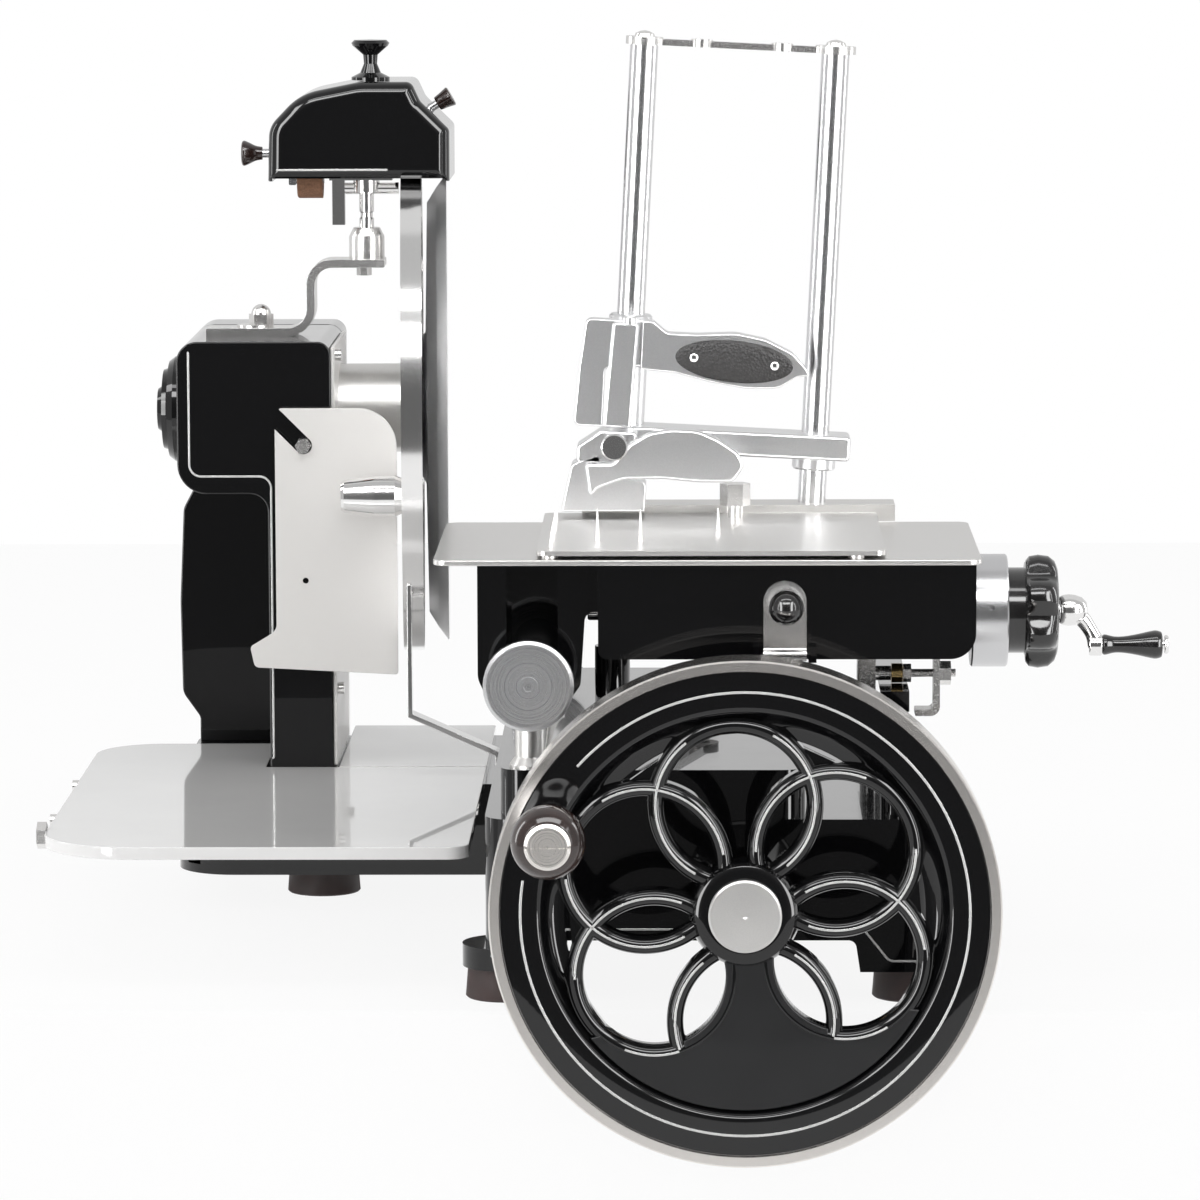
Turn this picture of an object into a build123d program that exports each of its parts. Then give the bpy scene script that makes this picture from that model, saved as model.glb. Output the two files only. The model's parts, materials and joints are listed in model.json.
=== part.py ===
"""Hand crank meat slicer with a flower flywheel, in millimetres.

+X points right along the blade's axle, +Y away from the operator, +Z up.
The origin is the middle of the two front feet, on the plane that all the feet stand on.
The flywheel hangs below that plane, because the machine stands at the edge of a counter.
"""

from build123d import *
import math
import os

# Fits
RUN = 0.05          # radial clearance of a running fit
GAP = 0.3           # space between curved faces that move past each other
FACE = 0.2          # space between flat faces that slide

# Feet
FOOT_R = 26
FOOT_H = 20
FOOT_SCREW_R = 4
FOOT_SCREW_L = 14
FRONT_FOOT_X = 127
REAR_FOOT = (127, 470)
SIDE_FOOT = (-264, 376)

# Base casting
WALL = 7
BASE_HALF = 139
BASE_Y = (-28, 520)
DECK_Z = 116
ARCH_Z = 40
LEG_W = 42
TURRET_X = (-129, 60)
TURRET_END = 430
TOP_Z = 147
RIB_Y = 290
RIB_X = -66

# Side pan and trays
PAN_X = -360
PAN_FRONT = 300
PAN_Z = (24, 86)
PAN_RIB_X = -262
TRAY_X = (-421, -150)
TRAY_Y = (0, 430)
TRAY_T = 8
STRAP_Y = (271, 289)

# Flywheel and its crank
WHEEL_X = 22
WHEEL_Z = 70.4
WHEEL_Y = -110
WHEEL_R = 156
WHEEL_W = 30
RIM_T = 6.5
DISH_R = 125
WEB_Z = (-20, -12)
HUB_R = 30
HUB_BACK = 44
RINGS = 6
RING_R = 48.5
RING_OUT = 67.2
RING_BAND = 10.3
BAND_LEDGE = 0.5
RING_START = -25
RING_RISE = 7
FACE_SPREAD = 118
CRANK_R = 130
CRANK_ANGLE = 155
SPINDLE_R = 6
GRIP_R = 22.5
GRIP_L = 72

# Shafts and gears
MAIN_R = 9
CROSS_R = 7
POST_SHAFT_R = 8
BUSH_T = 5
BLADE_Y = 400
BLADE_Z = 331.5
SWING_Y = 345
GEAR_R = 20
SMALL_GEAR_R = 16
GEAR_FACE = 8
TEETH = 16
PULLEY_X = -281
PULLEY_W = 14
PULLEY_R = 28
BLADE_PULLEY_R = 14
BELT_T = 3

# Carriage drive
SWING_R = 110
DISC_Z = (152, 160)
ROD_L = 215
ROD_W = 16
ROD_Z = (170, 176)
ROD_PIN_R = 6
PIN_HEAD_Z = (168, 169.7)
SWING_PIN_R = 7
CARRIAGE_PIN = (-60, 30.5)

# Guide bar and rail
BAR_X = -110.4
BAR_Z = 203
BAR_R = 15
BAR_Y = (-44, 505)
CAP_R = 28
RAIL_X = (106, 124)
RAIL_Z = (183, 195.6)
ROLLER_R = 6
ROLLER_Y = 12
ROLLER_Z = RAIL_Z[1] + GAP + ROLLER_R

# Carriage
BOX_X = (-68, 165)
BOX_Y = (-28, 150)
BOX_Z = (216, 276)
BOX_T = 6
SADDLE_OPEN = 55
TABLE_X = (-169, 168)
TABLE_Y = (-43, 162)
TABLE_T = 3.5
SCREW_Y = 60
SCREW_Z = 235
SCREW_R = 6
NUT_X = 20
NUT_W = 16
FEED_LEFT = 62
FEED_RIGHT = 56
COLLAR_R = 35.5
COLLAR_END = 188
KNOB_R = 37
KNOB_END = 220
FEED_ARM = 22
LEVER_PIN = (BOX_Y[0] - 4.5, BOX_Z[0] + 3.5)

# Meat plate and press
PLATE_X = (-105.5, 109)
PLATE_Y = (-42, 168)
PLATE_FEET = 2.5
PLATE_T = 3
COLUMN_Y = 185
COLUMN_X = -56.3
COLUMN_GAP = 123.3
COLUMN_R = 9
COLUMN_L = 302
LEAN = 3.0
BEAM_LOW = 41
BEAM_H = 16
HANDLE_LOW = 96
HANDLE_Y = (-44, -26)
PIVOT = (-5.9, 47.3)

# Drive column
COL_X = (-357.5, -253.5)
COL_Y = (325, 463)
COL_Z = (86, 383)
COL_STEP_X = -296.5
COL_STEP_Z = 280
CASE_BACK = 515
SIDE_T = 2.5

# Blade head, in a frame whose X runs along the blade's axle
HEAD_X = -177.7
TOE = 2.4
BLADE_R = 159.5
HOUSING_R = 30.3
HOUSING = (-84, -31)
FLANGE_R = 40
GUARD_R = 166
GUARD_BACK = -31
GUARD_T = 2
SHAFT_R = 8
SHAFT_START = -190
KNOB_PLACE = (-100, -50)

# Deflector plate
DEFLECTOR_Y = (318, 320)
STUD = (-271.8, 313.6)

# Sharpener
ARM_Y = (370, 398)
ARM_T = 5.5
POST_X = -231.5
COVER_X = (-296, -173.5)
COVER_Y = (344, 436)
COVER_Z = 490
COVER_TOP = 556
COVER_T = 3
KNOB_Z = 506.5
STONE_R = 13
STONE_X = (-278, -261)
STONE_Z = 489
HONE_PLACE = (-184.5, 538.7)


# Shape helpers ---------------------------------------------------------------------------------

def block(x, y, z):
    """A box between three pairs of limits."""
    size = [high - low for low, high in (x, y, z)]
    middle = [(high + low) / 2 for low, high in (x, y, z)]
    return Pos(*middle) * Box(*size)


def rod_x(x, y, z, radius):
    """A round bar along X between two limits."""
    return Pos(sum(x) / 2, y, z) * Rot(0, 90, 0) * Cylinder(radius, x[1] - x[0])


def rod_y(x, y, z, radius):
    """A round bar along Y between two limits."""
    return Pos(x, sum(y) / 2, z) * Rot(90, 0, 0) * Cylinder(radius, y[1] - y[0])


def rod_z(x, y, z, radius):
    """A round bar along Z between two limits."""
    return Pos(x, y, sum(z) / 2) * Cylinder(radius, z[1] - z[0])


def rounded(x, y, radius):
    """A flat rectangle between two pairs of limits, with rounded corners."""
    middle = Pos((x[0] + x[1]) / 2, (y[0] + y[1]) / 2)
    return middle * RectangleRounded(x[1] - x[0], y[1] - y[0], radius)


def outline(points, radius=0.0):
    """A flat face inside straight runs, its corners rounded by one radius or one for each."""
    if radius:
        return make_face(FilletPolyline(*points, radius=radius, close=True))
    return make_face(Polyline(*points, close=True))


def slab_xy(face, z):
    """A flat face of X and Y, thickened between two heights."""
    return Pos(0, 0, z[0]) * extrude(face, z[1] - z[0])


def slab_xz(face, y):
    """A flat face of X and Z, thickened between two depths."""
    return Pos(0, y[1], 0) * (Plane.XZ * extrude(face, y[1] - y[0]))


def turned(points):
    """A solid turned about Z from (radius, height) points."""
    profile = make_face(Polyline(*[(r, 0, z) for r, z in points], close=True))
    return revolve(profile, Axis.Z)


def about_x(shape, x=0, y=0, z=0):
    """Lays a shape made about Z along +X and puts it at a place."""
    return Pos(x, y, z) * Rot(0, 90, 0) * shape


def polar(radius, angle):
    """A flat point at a radius and an angle in degrees."""
    return radius * math.cos(math.radians(angle)), radius * math.sin(math.radians(angle))


def hexagon(across, height):
    """A hexagon bar standing on its lower face."""
    return extrude(RegularPolygon(across / 2, 6, major_radius=False), height)


def acorn_nut(across):
    """A domed nut standing on its lower face."""
    return hexagon(across, across * 0.5) + Pos(0, 0, across * 0.5) * Sphere(across * 0.46)


def head_frame():
    """The blade head's frame: X along the axle to the right, turned out by the toe angle."""
    return Pos(HEAD_X, BLADE_Y, BLADE_Z) * Rot(0, 0, TOE)


def wheel_frame():
    """The flywheel's frame: Z towards the operator, X right and Y up."""
    return Pos(WHEEL_X, WHEEL_Y, WHEEL_Z) * Rot(90, 0, 0)


def press_frame():
    """The leaning columns' frame: Z up the left column from the meat plate."""
    return Pos(COLUMN_X, COLUMN_Y, plate_top()) * Rot(0, LEAN, 0)


def table_top():
    return BOX_Z[1] + TABLE_T


def plate_top():
    return table_top() + PLATE_FEET + PLATE_T


# Base, feet and trays --------------------------------------------------------------------------

def front_feet():
    return [(-FRONT_FOOT_X, 0), (FRONT_FOOT_X, 0)]


def feet_places():
    return front_feet() + [REAR_FOOT, SIDE_FOOT]


def rubber_feet():
    """Four tapered rubber feet, each with a threaded insert that opens downwards."""
    foot = turned([(0, 0), (FOOT_R - 2, 0), (FOOT_R - 1, 1), (FOOT_R - 2.5, FOOT_H), (0, FOOT_H)])
    foot -= rod_z(0, 0, (0, FOOT_SCREW_L), FOOT_SCREW_R)
    return Compound([Pos(x, y) * foot for x, y in feet_places()])


def base_casting():
    """The hollow base: arched legs, a raised gear turret, and the bosses of all the shafts."""
    half = (-BASE_HALF, BASE_HALF)
    inner = (-BASE_HALF + WALL, BASE_HALF - WALL)
    back = BASE_Y[1]
    body = slab_xy(rounded(half, BASE_Y, 18), (FOOT_H, DECK_Z))
    body += slab_xy(rounded(TURRET_X, (BASE_Y[0], TURRET_END), 14), (DECK_Z - 1, TOP_Z))
    leg_in = BASE_HALF - LEG_W
    arch = outline([(-leg_in, 0), (leg_in, 0), (leg_in - 6, ARCH_Z), (-leg_in + 6, ARCH_Z)], 5)
    body -= slab_xz(arch, (BASE_Y[0] - 1, back + 1))
    body -= block((-200, 200), (BASE_Y[0] + 58, back - 80), (0, ARCH_Z))
    body -= block((-200, leg_in), (BASE_Y[0] + 58, back + 1), (0, ARCH_Z))
    for x, y in front_feet() + [REAR_FOOT]:
        body += rod_z(x, y, (FOOT_H, ARCH_Z - 6), FOOT_R + 1)
    body -= block(inner, (BASE_Y[0] + WALL, back - WALL), (ARCH_Z - 2, DECK_Z - WALL))
    turret_in = (TURRET_X[0] + WALL, TURRET_X[1] - WALL)
    body -= block(turret_in, (BASE_Y[0] + WALL, TURRET_END - WALL), (DECK_Z - WALL - 1, TOP_Z - WALL))
    body += base_ribs(inner)
    body -= rod_y(WHEEL_X, (BASE_Y[0] - 20, RIB_Y + 20), WHEEL_Z, MAIN_R + RUN + BUSH_T)
    body -= rod_x((-BASE_HALF - 1, RIB_X + 20), BLADE_Y, WHEEL_Z, CROSS_R + RUN + BUSH_T)
    body -= rod_z(WHEEL_X, SWING_Y, (DECK_Z - 12, TOP_Z + 5), POST_SHAFT_R + RUN + BUSH_T)
    return body


def base_ribs(inner):
    """The two inner walls and the bosses that hold the bushes."""
    ribs = block(inner, (RIB_Y, RIB_Y + 6), (ARCH_Z, DECK_Z - WALL + 1))
    ribs += block((RIB_X, RIB_X + 6), (RIB_Y + 5, BASE_Y[1] - WALL + 1), (ARCH_Z, DECK_Z - WALL + 1))
    main_boss = MAIN_R + BUSH_T + 6
    cross_boss = CROSS_R + BUSH_T + 6
    ribs += rod_y(WHEEL_X, (BASE_Y[0] - 12, BASE_Y[0] + 30), WHEEL_Z, main_boss)
    ribs += rod_y(WHEEL_X, (RIB_Y - 12, RIB_Y + 8), WHEEL_Z, main_boss)
    ribs += rod_x((RIB_X - 10, RIB_X + 12), BLADE_Y, WHEEL_Z, cross_boss)
    ribs += rod_x((-BASE_HALF + 1, -BASE_HALF + 24), BLADE_Y, WHEEL_Z, cross_boss)
    ribs += rod_z(WHEEL_X, SWING_Y, (DECK_Z - 8, TOP_Z + 3), POST_SHAFT_R + BUSH_T + 6)
    return ribs


def shaft_bearings():
    """Bronze bushes of the flywheel shaft, the cross shaft and the upright shaft."""
    def bush(radius, length):
        outer = radius + RUN + BUSH_T
        return turned([(radius + RUN, 0), (outer, 0), (outer, length), (radius + RUN, length)])
    lay_y = Rot(-90, 0, 0)
    places = [
        Pos(WHEEL_X, BASE_Y[0] - 12, WHEEL_Z) * lay_y * bush(MAIN_R, 42),
        Pos(WHEEL_X, RIB_Y - 12, WHEEL_Z) * lay_y * bush(MAIN_R, 20),
        about_x(bush(CROSS_R, 22), RIB_X - 10, BLADE_Y, WHEEL_Z),
        about_x(bush(CROSS_R, 24), -BASE_HALF, BLADE_Y, WHEEL_Z),
        about_x(bush(CROSS_R, 12), PAN_RIB_X, BLADE_Y, WHEEL_Z),
        Pos(WHEEL_X, SWING_Y, DECK_Z - 8) * bush(POST_SHAFT_R, TOP_Z + 3 - DECK_Z + 8),
    ]
    return Compound(places)


def base_pan():
    """The low side casting under the drive column, with its own foot."""
    back = BASE_Y[1]
    face = outline([(PAN_X, PAN_FRONT), (-BASE_HALF, PAN_FRONT), (-BASE_HALF, back), (PAN_X, back)],
                   [40, 1, 1, 20])
    pan = slab_xy(face, PAN_Z)
    pan -= slab_xy(rounded((PAN_X + 6, -BASE_HALF - 6), (PAN_FRONT + 6, back - 6), 18),
                   (PAN_Z[0] + 6, PAN_Z[1] - 6))
    pan += rod_z(*SIDE_FOOT, (FOOT_H, PAN_Z[0] + 2), FOOT_R + 1)
    boss = CROSS_R + BUSH_T + 6
    pan += rod_x((PAN_RIB_X, PAN_RIB_X + 12), BLADE_Y, WHEEL_Z, boss) - block(
        (-400, 0), (0, 600), (PAN_Z[1], 200))
    pan += block((PAN_RIB_X + 2, PAN_RIB_X + 8), (PAN_FRONT + 2, back - 2), (PAN_Z[0] + 4, PAN_Z[1] - 4))
    pan -= belt_opening((PAN_Z[1] - 8, PAN_Z[1] + 1))
    pan -= rod_x((PAN_RIB_X - 1, -BASE_HALF + 1), BLADE_Y, WHEEL_Z, CROSS_R + RUN + BUSH_T)
    return pan


def belt_opening(z):
    """The way through for the belt between the pan and the column."""
    reach = PULLEY_R + BELT_T + 3
    return block((PULLEY_X - 11, PULLEY_X + 11), (BLADE_Y - reach, BLADE_Y + reach), z)


def slice_tray():
    """The white slice tray in front of the column, and the deck plate beside the column."""
    top = PAN_Z[1] + TRAY_T
    left, right = TRAY_X
    face = outline([(left, TRAY_Y[0]), (right, TRAY_Y[0]), (right, COL_Y[0] - 1),
                    (COL_STEP_X - 3, COL_Y[0] - 1), (COL_STEP_X - 3, TRAY_Y[1]), (left, TRAY_Y[1])],
                   [60, 14, 1, 1, 1, 45])
    deck = rounded((COL_X[1] + SIDE_T + 1, right), (COL_Y[0] + 1, CASE_BACK), 2)
    return Compound([slab_xy(face, (PAN_Z[1], top)), slab_xy(deck, (PAN_Z[1], top))])


def frame_screws():
    """Visible fasteners of the frame: tray, side plate, guard strap, bracket and deflector."""
    tray_top = PAN_Z[1] + TRAY_T
    left = TRAY_X[0]
    head = rod_x((0, 4), 0, 0, 4)
    bolt = Rot(0, 90, 0) * hexagon(15, 6)
    side_x = COL_X[1] + SIDE_T
    guard_stud = turned([(0, -57), (3, -57), (3, -29), (8, -29), (8, -23), (0, -23)])
    parts = [
        Pos(left - 4, 268, tray_top - TRAY_T / 2) * head,
        Pos(left - 4, 128, tray_top - TRAY_T / 2) * head,
        Pos(left - 6, 70, tray_top - TRAY_T / 2) * bolt,
        Pos(side_x, COL_Y[0] + 14, 146) * head,
        Pos(side_x, COL_Y[0] + 14, COL_Z[1] - 10) * head,
        Pos(side_x, COL_Y[1] - 14, 146) * head,
        Pos(-BASE_HALF - 3 - 4, STRAP_Y[0] + 9, 72) * head,
        Pos(-308, sum(ARM_Y) / 2, COL_Z[1] + ARM_T) * rod_z(0, 0, (0, 1.5), 12.5),
        Pos(-304, sum(ARM_Y) / 2, COL_Z[1] + ARM_T + 1.5) * acorn_nut(14.5),
        Pos(STUD[0], COL_Y[0], STUD[1]) * Rot(90, 0, 0) * hexagon(9.5, 12),
        head_frame() * about_x(guard_stud, 0, *KNOB_PLACE),
    ]
    return Compound(parts)


def guard_strap():
    """A bent strip that ties the blade guard to the base."""
    wall = -BASE_HALF
    outer = [(-197.5, 225), (-197.5, 138), (wall, 112), (wall, 58), (wall - 3, 58), (wall - 3, 109.6),
             (-200.5, 135.8), (-200.5, 225)]
    return slab_xz(outline(outer, 1), STRAP_Y) - head_frame() * rod_x((-60, 20), 0, 0, GUARD_R)


# Drive column and blade head -------------------------------------------------------------------

def column_face(inset):
    """The column's stepped front outline, drawn in by an inset."""
    left, right = COL_X[0] + inset, COL_X[1] - inset
    step_x, step_z = COL_STEP_X + inset, COL_STEP_Z + inset
    low = COL_Z[0]
    high = COL_Z[1] - inset
    points = [(step_x, low), (right, low), (right, high), (left, high), (left, step_z), (step_x, step_z)]
    return outline(points, [1, 1, 4, 9, 14, 8])


def case_face(inset):
    """The outline of the wider casing behind the column, bulged on its left."""
    right = COL_X[1] - inset
    left = COL_X[0] + inset
    points = [(left + 2, COL_Z[0]), (right, COL_Z[0]), (right, COL_Z[1] - inset), (left, COL_Z[1] - inset),
              (left, 270), (left - 8, 255), (left - 11, 190), (left - 10, 125), (left + 2, 108)]
    return outline(points, [1, 1, 4, 9, 12, 12, 60, 12, 6])


def drive_column():
    """The hollow column that carries the spindle and hides the belt."""
    column = slab_xz(column_face(0), COL_Y) + slab_xz(case_face(0), (COL_Y[1], CASE_BACK))
    column -= slab_xz(column_face(6), (COL_Y[0] + 6, COL_Y[1] + 1))
    column -= slab_xz(case_face(6), (COL_Y[1], CASE_BACK - 6))
    column -= head_frame() * rod_x((SHAFT_START - 20, -40), 0, 0, HOUSING_R) & block(
        (COL_X[1] - 20, COL_X[1] + 9), (0, 600), (0, 600))
    column -= head_frame() * rod_x((SHAFT_START - 9, -140), 0, 0, SHAFT_R + 2)
    return column


def column_side_plate():
    """The pale cover on the column's right side, open round the spindle housing."""
    low = PAN_Z[1] + TRAY_T + 1
    plate = block((COL_X[1], COL_X[1] + SIDE_T), (COL_Y[0] + 2, COL_Y[1]), (low, COL_Z[1] - 4))
    return plate - head_frame() * rod_x((-120, -60), 0, 0, HOUSING_R)


def bearing_cap():
    """The stepped round cap over the spindle's left bearing."""
    cap = turned([(0, 0), (36, 0), (36, 6), (33, 10), (28, 11), (27, 14), (16, 15), (14, 18), (0, 18)])
    middle = BLADE_Y + (COL_X[0] - HEAD_X) * math.tan(math.radians(TOE))
    cap = Pos(COL_X[0], middle, BLADE_Z) * Rot(0, -90, 0) * cap
    return cap - head_frame() * rod_x((SHAFT_START - GAP, COL_X[0] - HEAD_X + 5), 0, 0, SHAFT_R + RUN)


def spindle_housing():
    """The steel tube that carries the blade's spindle."""
    start, end = HOUSING
    tube = turned([(SHAFT_R + RUN, start), (HOUSING_R, start), (HOUSING_R, end), (SHAFT_R + RUN, end)])
    return head_frame() * about_x(tube)


def blade_shaft():
    """The spindle with the flange that the blade is screwed to."""
    shaft = turned([(0, SHAFT_START), (SHAFT_R, SHAFT_START), (SHAFT_R, -27), (FLANGE_R, -27),
                    (FLANGE_R, -21), (0, -21)])
    return head_frame() * about_x(shaft)


def blade():
    """The dished round blade: a flat hub, a shallow cone and a ground edge."""
    r = BLADE_R
    disc = turned([(0, -21), (42, -21), (52, -15), (140, -13.5), (r - 9, -7), (r, -0.3), (r - 1, 0),
                   (141, -9.5), (54, -11), (46, -15), (0, -15)])
    disc = about_x(disc)
    for angle in range(0, 360, 90):
        y, z = polar(26, angle + 45)
        disc += rod_x((-16, -12.5), y, z, 5)
    return head_frame() * disc


def blade_pulley():
    """The small pulley on the spindle."""
    middle = (PULLEY_X - HEAD_X)
    ring = turned([(SHAFT_R, -PULLEY_W / 2), (BLADE_PULLEY_R, -PULLEY_W / 2),
                   (BLADE_PULLEY_R, PULLEY_W / 2), (SHAFT_R, PULLEY_W / 2)])
    return head_frame() * about_x(ring, middle)


def blade_guard():
    """The polished guard plate behind the blade, with a lip round the blade's edge."""
    back, thick = GUARD_BACK, GUARD_T
    ring = turned([(24, back), (GUARD_R, back), (GUARD_R, back + 14), (GUARD_R - 3, back + 14),
                   (GUARD_R - 3, back + thick), (24, back + thick)])
    ring = about_x(ring) - rod_x((back - 1, back + 5), KNOB_PLACE[0], KNOB_PLACE[1], 3.05)
    return head_frame() * ring


def guard_knob():
    """The tapered knob that clamps the guard, with a blind bore for its stud."""
    knob = turned([(3.05, -31.3), (12, -31.3), (14, -36), (14, -50), (11, -70), (9.5, -72), (0, -72),
                   (0, -58), (3.05, -58)])
    return head_frame() * about_x(knob, 0, *KNOB_PLACE)


def drive_pulley():
    """The large pulley on the cross shaft."""
    ring = turned([(CROSS_R, -PULLEY_W / 2), (PULLEY_R, -PULLEY_W / 2),
                   (PULLEY_R, PULLEY_W / 2), (CROSS_R, PULLEY_W / 2)])
    return about_x(ring, PULLEY_X, BLADE_Y, WHEEL_Z)


def belt_face(grow):
    """The outline round both pulleys, grown by a distance."""
    low = (BLADE_Y, WHEEL_Z)
    offset = (PULLEY_X - HEAD_X) * math.sin(math.radians(TOE))
    high = (BLADE_Y + offset, BLADE_Z)
    low_r, high_r = PULLEY_R + grow, BLADE_PULLEY_R + grow
    span = math.dist(low, high)
    along = math.degrees(math.atan2(high[1] - low[1], high[0] - low[0]))
    spread = math.degrees(math.acos((low_r - high_r) / span))
    corners = []
    for centre, radius, angle in ((low, low_r, along + spread), (high, high_r, along + spread),
                                  (high, high_r, along - spread), (low, low_r, along - spread)):
        y, z = polar(radius, angle)
        corners.append((centre[0] + y, centre[1] + z))
    sides = make_face(Polyline(*corners, close=True))
    return sides + Pos(*low) * Circle(low_r) + Pos(*high) * Circle(high_r)


def drive_belt():
    """The flat belt from the cross shaft up to the spindle."""
    width = PULLEY_W - 2
    loop = belt_face(0.5 + BELT_T) - belt_face(0.5)
    return Pos(PULLEY_X - width / 2, 0, 0) * (Plane.YZ * extrude(loop, width))


def deflector_plate():
    """The pale slice deflector, hooked over a hexagonal stud on the column."""
    right = -209
    points = [(-288.5, 338.8), (right, 338.8), (right, 158), (-306, 163), (-309, 177), (-291, 188),
              (-291, 327)]
    plate = slab_xz(outline(points, [3, 26, 2, 4, 3, 8, 3]), DEFLECTOR_Y)
    slope = Rot(0, 45, 0)
    slot = rod_y(0, DEFLECTOR_Y, 0, 5.8) + block((-40, 0), DEFLECTOR_Y, (-5.8, 5.8))
    plate -= Pos(STUD[0], 0, STUD[1]) * slope * slot
    return plate - rod_y(-271, DEFLECTOR_Y, 222, 2)


# Sharpener -------------------------------------------------------------------------------------

def sharpener_bracket():
    """The S-shaped arm from the column's top to the sharpener, with its cup and strut."""
    low, high = COL_Z[1], 429.5
    t = ARM_T
    points = [(-341, low), (-266.5, low), (-266.5, high), (-219, high), (-219, high + t),
              (-272, high + t), (-272, low + t), (-341, low + t)]
    arm = slab_xz(outline(points, [1, 19, 12, 1, 1, 17, 13, 1]), ARM_Y)
    middle = sum(ARM_Y) / 2
    cup = turned([(0, 0), (12, 0), (12, 15), (9, 21), (0, 21)])
    arm += Pos(POST_X, middle, high + t) * cup
    arm += Pos(POST_X - 2, middle, high - 6) * hexagon(9, 7)
    arm -= rod_z(POST_X, middle, (high + t + 6, high + 40), 5 + RUN)
    return arm


def sharpener_post():
    """The grooved post that lifts in the bracket's cup, and the cross plate that holds the cover."""
    middle = sum(ARM_Y) / 2
    low = 429.5 + ARM_T + 6
    post = turned([(0, low + 0.2), (5, low + 0.2), (5, 462), (4.2, 463), (4.2, 466), (5, 467), (5, 480),
                   (9, 480), (9, COVER_Z), (0, COVER_Z)])
    post = Pos(POST_X, middle) * post
    plate = block((-254.5, -212), (COVER_Y[0] + COVER_T, COVER_Y[1] - COVER_T), (COVER_Z, COVER_Z + 4))
    strut = block((-254.5, -246), (middle - 5, middle + 5), (458, COVER_Z))
    return post + plate + strut + rod_x((-246, -209.5), middle, 482.5, 4)


def sharpener_cover():
    """The domed cover, open below, that slopes down towards the blade."""
    left, right = COVER_X
    points = [(left, COVER_Z - 1), (left + 1, 526), (left + 22, 548), (-234, COVER_TOP), (-199, COVER_TOP),
              (-193, 543), (right, 524), (right, COVER_Z - 1)]
    shell = slab_xz(outline(points, [1, 18, 40, 40, 6, 8, 5, 1]), COVER_Y)
    wall = COVER_T
    inner = [(left + wall, COVER_Z - 2), (left + wall + 1, 523), (left + 24, 543), (-234, COVER_TOP - 4),
             (-201, COVER_TOP - 4), (-196, 540), (right - wall, 521), (right - wall, COVER_Z - 2)]
    shell = fillet(shell.faces().sort_by(Axis.Y)[0].edges().filter_by(
        lambda e: e.center().Z > COVER_Z + 4), 9)
    shell -= slab_xz(outline(inner, [1, 16, 36, 36, 5, 7, 4, 1]), (COVER_Y[0] + wall, COVER_Y[1] - wall))
    middle = sum(ARM_Y) / 2
    shell -= rod_x((left - 1, left + 9), middle, KNOB_Z, 3 + GAP)
    shell -= hone_frame() * rod_z(0, 0, (-12, 12), 3 + GAP)
    return shell - head_frame() * rod_x((GUARD_BACK - 2, GUARD_BACK + 16), 0, 0, GUARD_R + 1)


def hone_frame():
    """The slanted frame of the honing stone's knob."""
    return Pos(HONE_PLACE[0], sum(ARM_Y) / 2, HONE_PLACE[1]) * Rot(0, 60, 0)


def lift_knob():
    """The waisted knob on top of the cover."""
    knob = turned([(0, 0), (13, 0), (13, 2), (7, 5), (4.5, 11), (5, 17), (12, 23), (13, 25), (11, 27),
                   (0, 27.5)])
    return Pos(-228, sum(ARM_Y) / 2, COVER_TOP) * knob


def grind_knob():
    """The push knob on the cover's left, with the bent rod that carries the stone."""
    middle = sum(ARM_Y) / 2
    start = COVER_X[0] - 20
    hang = STONE_X[0] - 6 - start
    knob = turned([(0, 0), (8, 0), (8.5, 2), (4.5, 12), (4.5, 14), (3, 14), (3, hang + 2), (0, hang + 2)])
    knob = about_x(knob, start, middle, KNOB_Z)
    knob += block((STONE_X[0] - 6, STONE_X[0] - 1), (middle - 4, middle + 4), (STONE_Z - 4, KNOB_Z + 3))
    return knob + rod_x((STONE_X[0] - 2, STONE_X[1] + 1), middle, STONE_Z, 3)


def grind_stone():
    """The round grinding stone on the end of the push rod."""
    bore, width = 3 + RUN, STONE_X[1] - STONE_X[0]
    stone = turned([(bore, 0), (STONE_R - 1, 0), (STONE_R, 1), (STONE_R, width), (bore, width)])
    return about_x(stone, STONE_X[0], sum(ARM_Y) / 2, STONE_Z)


def hone_knob():
    """The small slanted knob of the honing stone on the cover's right."""
    return hone_frame() * turned([(0, -10), (3, -10), (3, 2), (5, 2), (6, 8), (6.8, 12), (6, 13), (0, 13)])


# Flywheel and shafts ---------------------------------------------------------------------------

def ring_angle(place):
    """The direction of one ring of the flower; the last one points down."""
    return RING_START + 360 / RINGS * place


def ring_face(place, grow):
    """A disc inside one ring, its centreline's circle grown or shrunk by a distance."""
    x, y = polar(RING_OUT, ring_angle(place))
    return Pos(x, y) * Circle(RING_R + grow)


def flywheel():
    """The enamelled wheel: a deep annulus and a dished web pierced by a flower of six rings."""
    half = RING_BAND / 2
    web_back, web_front = WEB_Z
    land = DISH_R - 8
    outer = WHEEL_R - RIM_T
    body = turned([(MAIN_R, -HUB_BACK), (HUB_R - 8, -HUB_BACK), (HUB_R, web_back), (land, web_back),
                   (DISH_R, -WHEEL_W + 2), (outer, -WHEEL_W + 2), (outer, -2), (DISH_R, -2),
                   (land, web_front), (HUB_R + 3, web_front), (HUB_R, -1), (MAIN_R, -1)])
    body -= slab_xy(flower_windows(half), (web_back - 1, web_front + 1))
    body += slab_xy(flower_bands(half - BAND_LEDGE), (web_front - 1, web_front + RING_RISE))
    x, y = polar(CRANK_R, CRANK_ANGLE)
    body -= rod_z(x, y, (-20, 1), SPINDLE_R + GAP)
    return wheel_frame() * body


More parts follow.
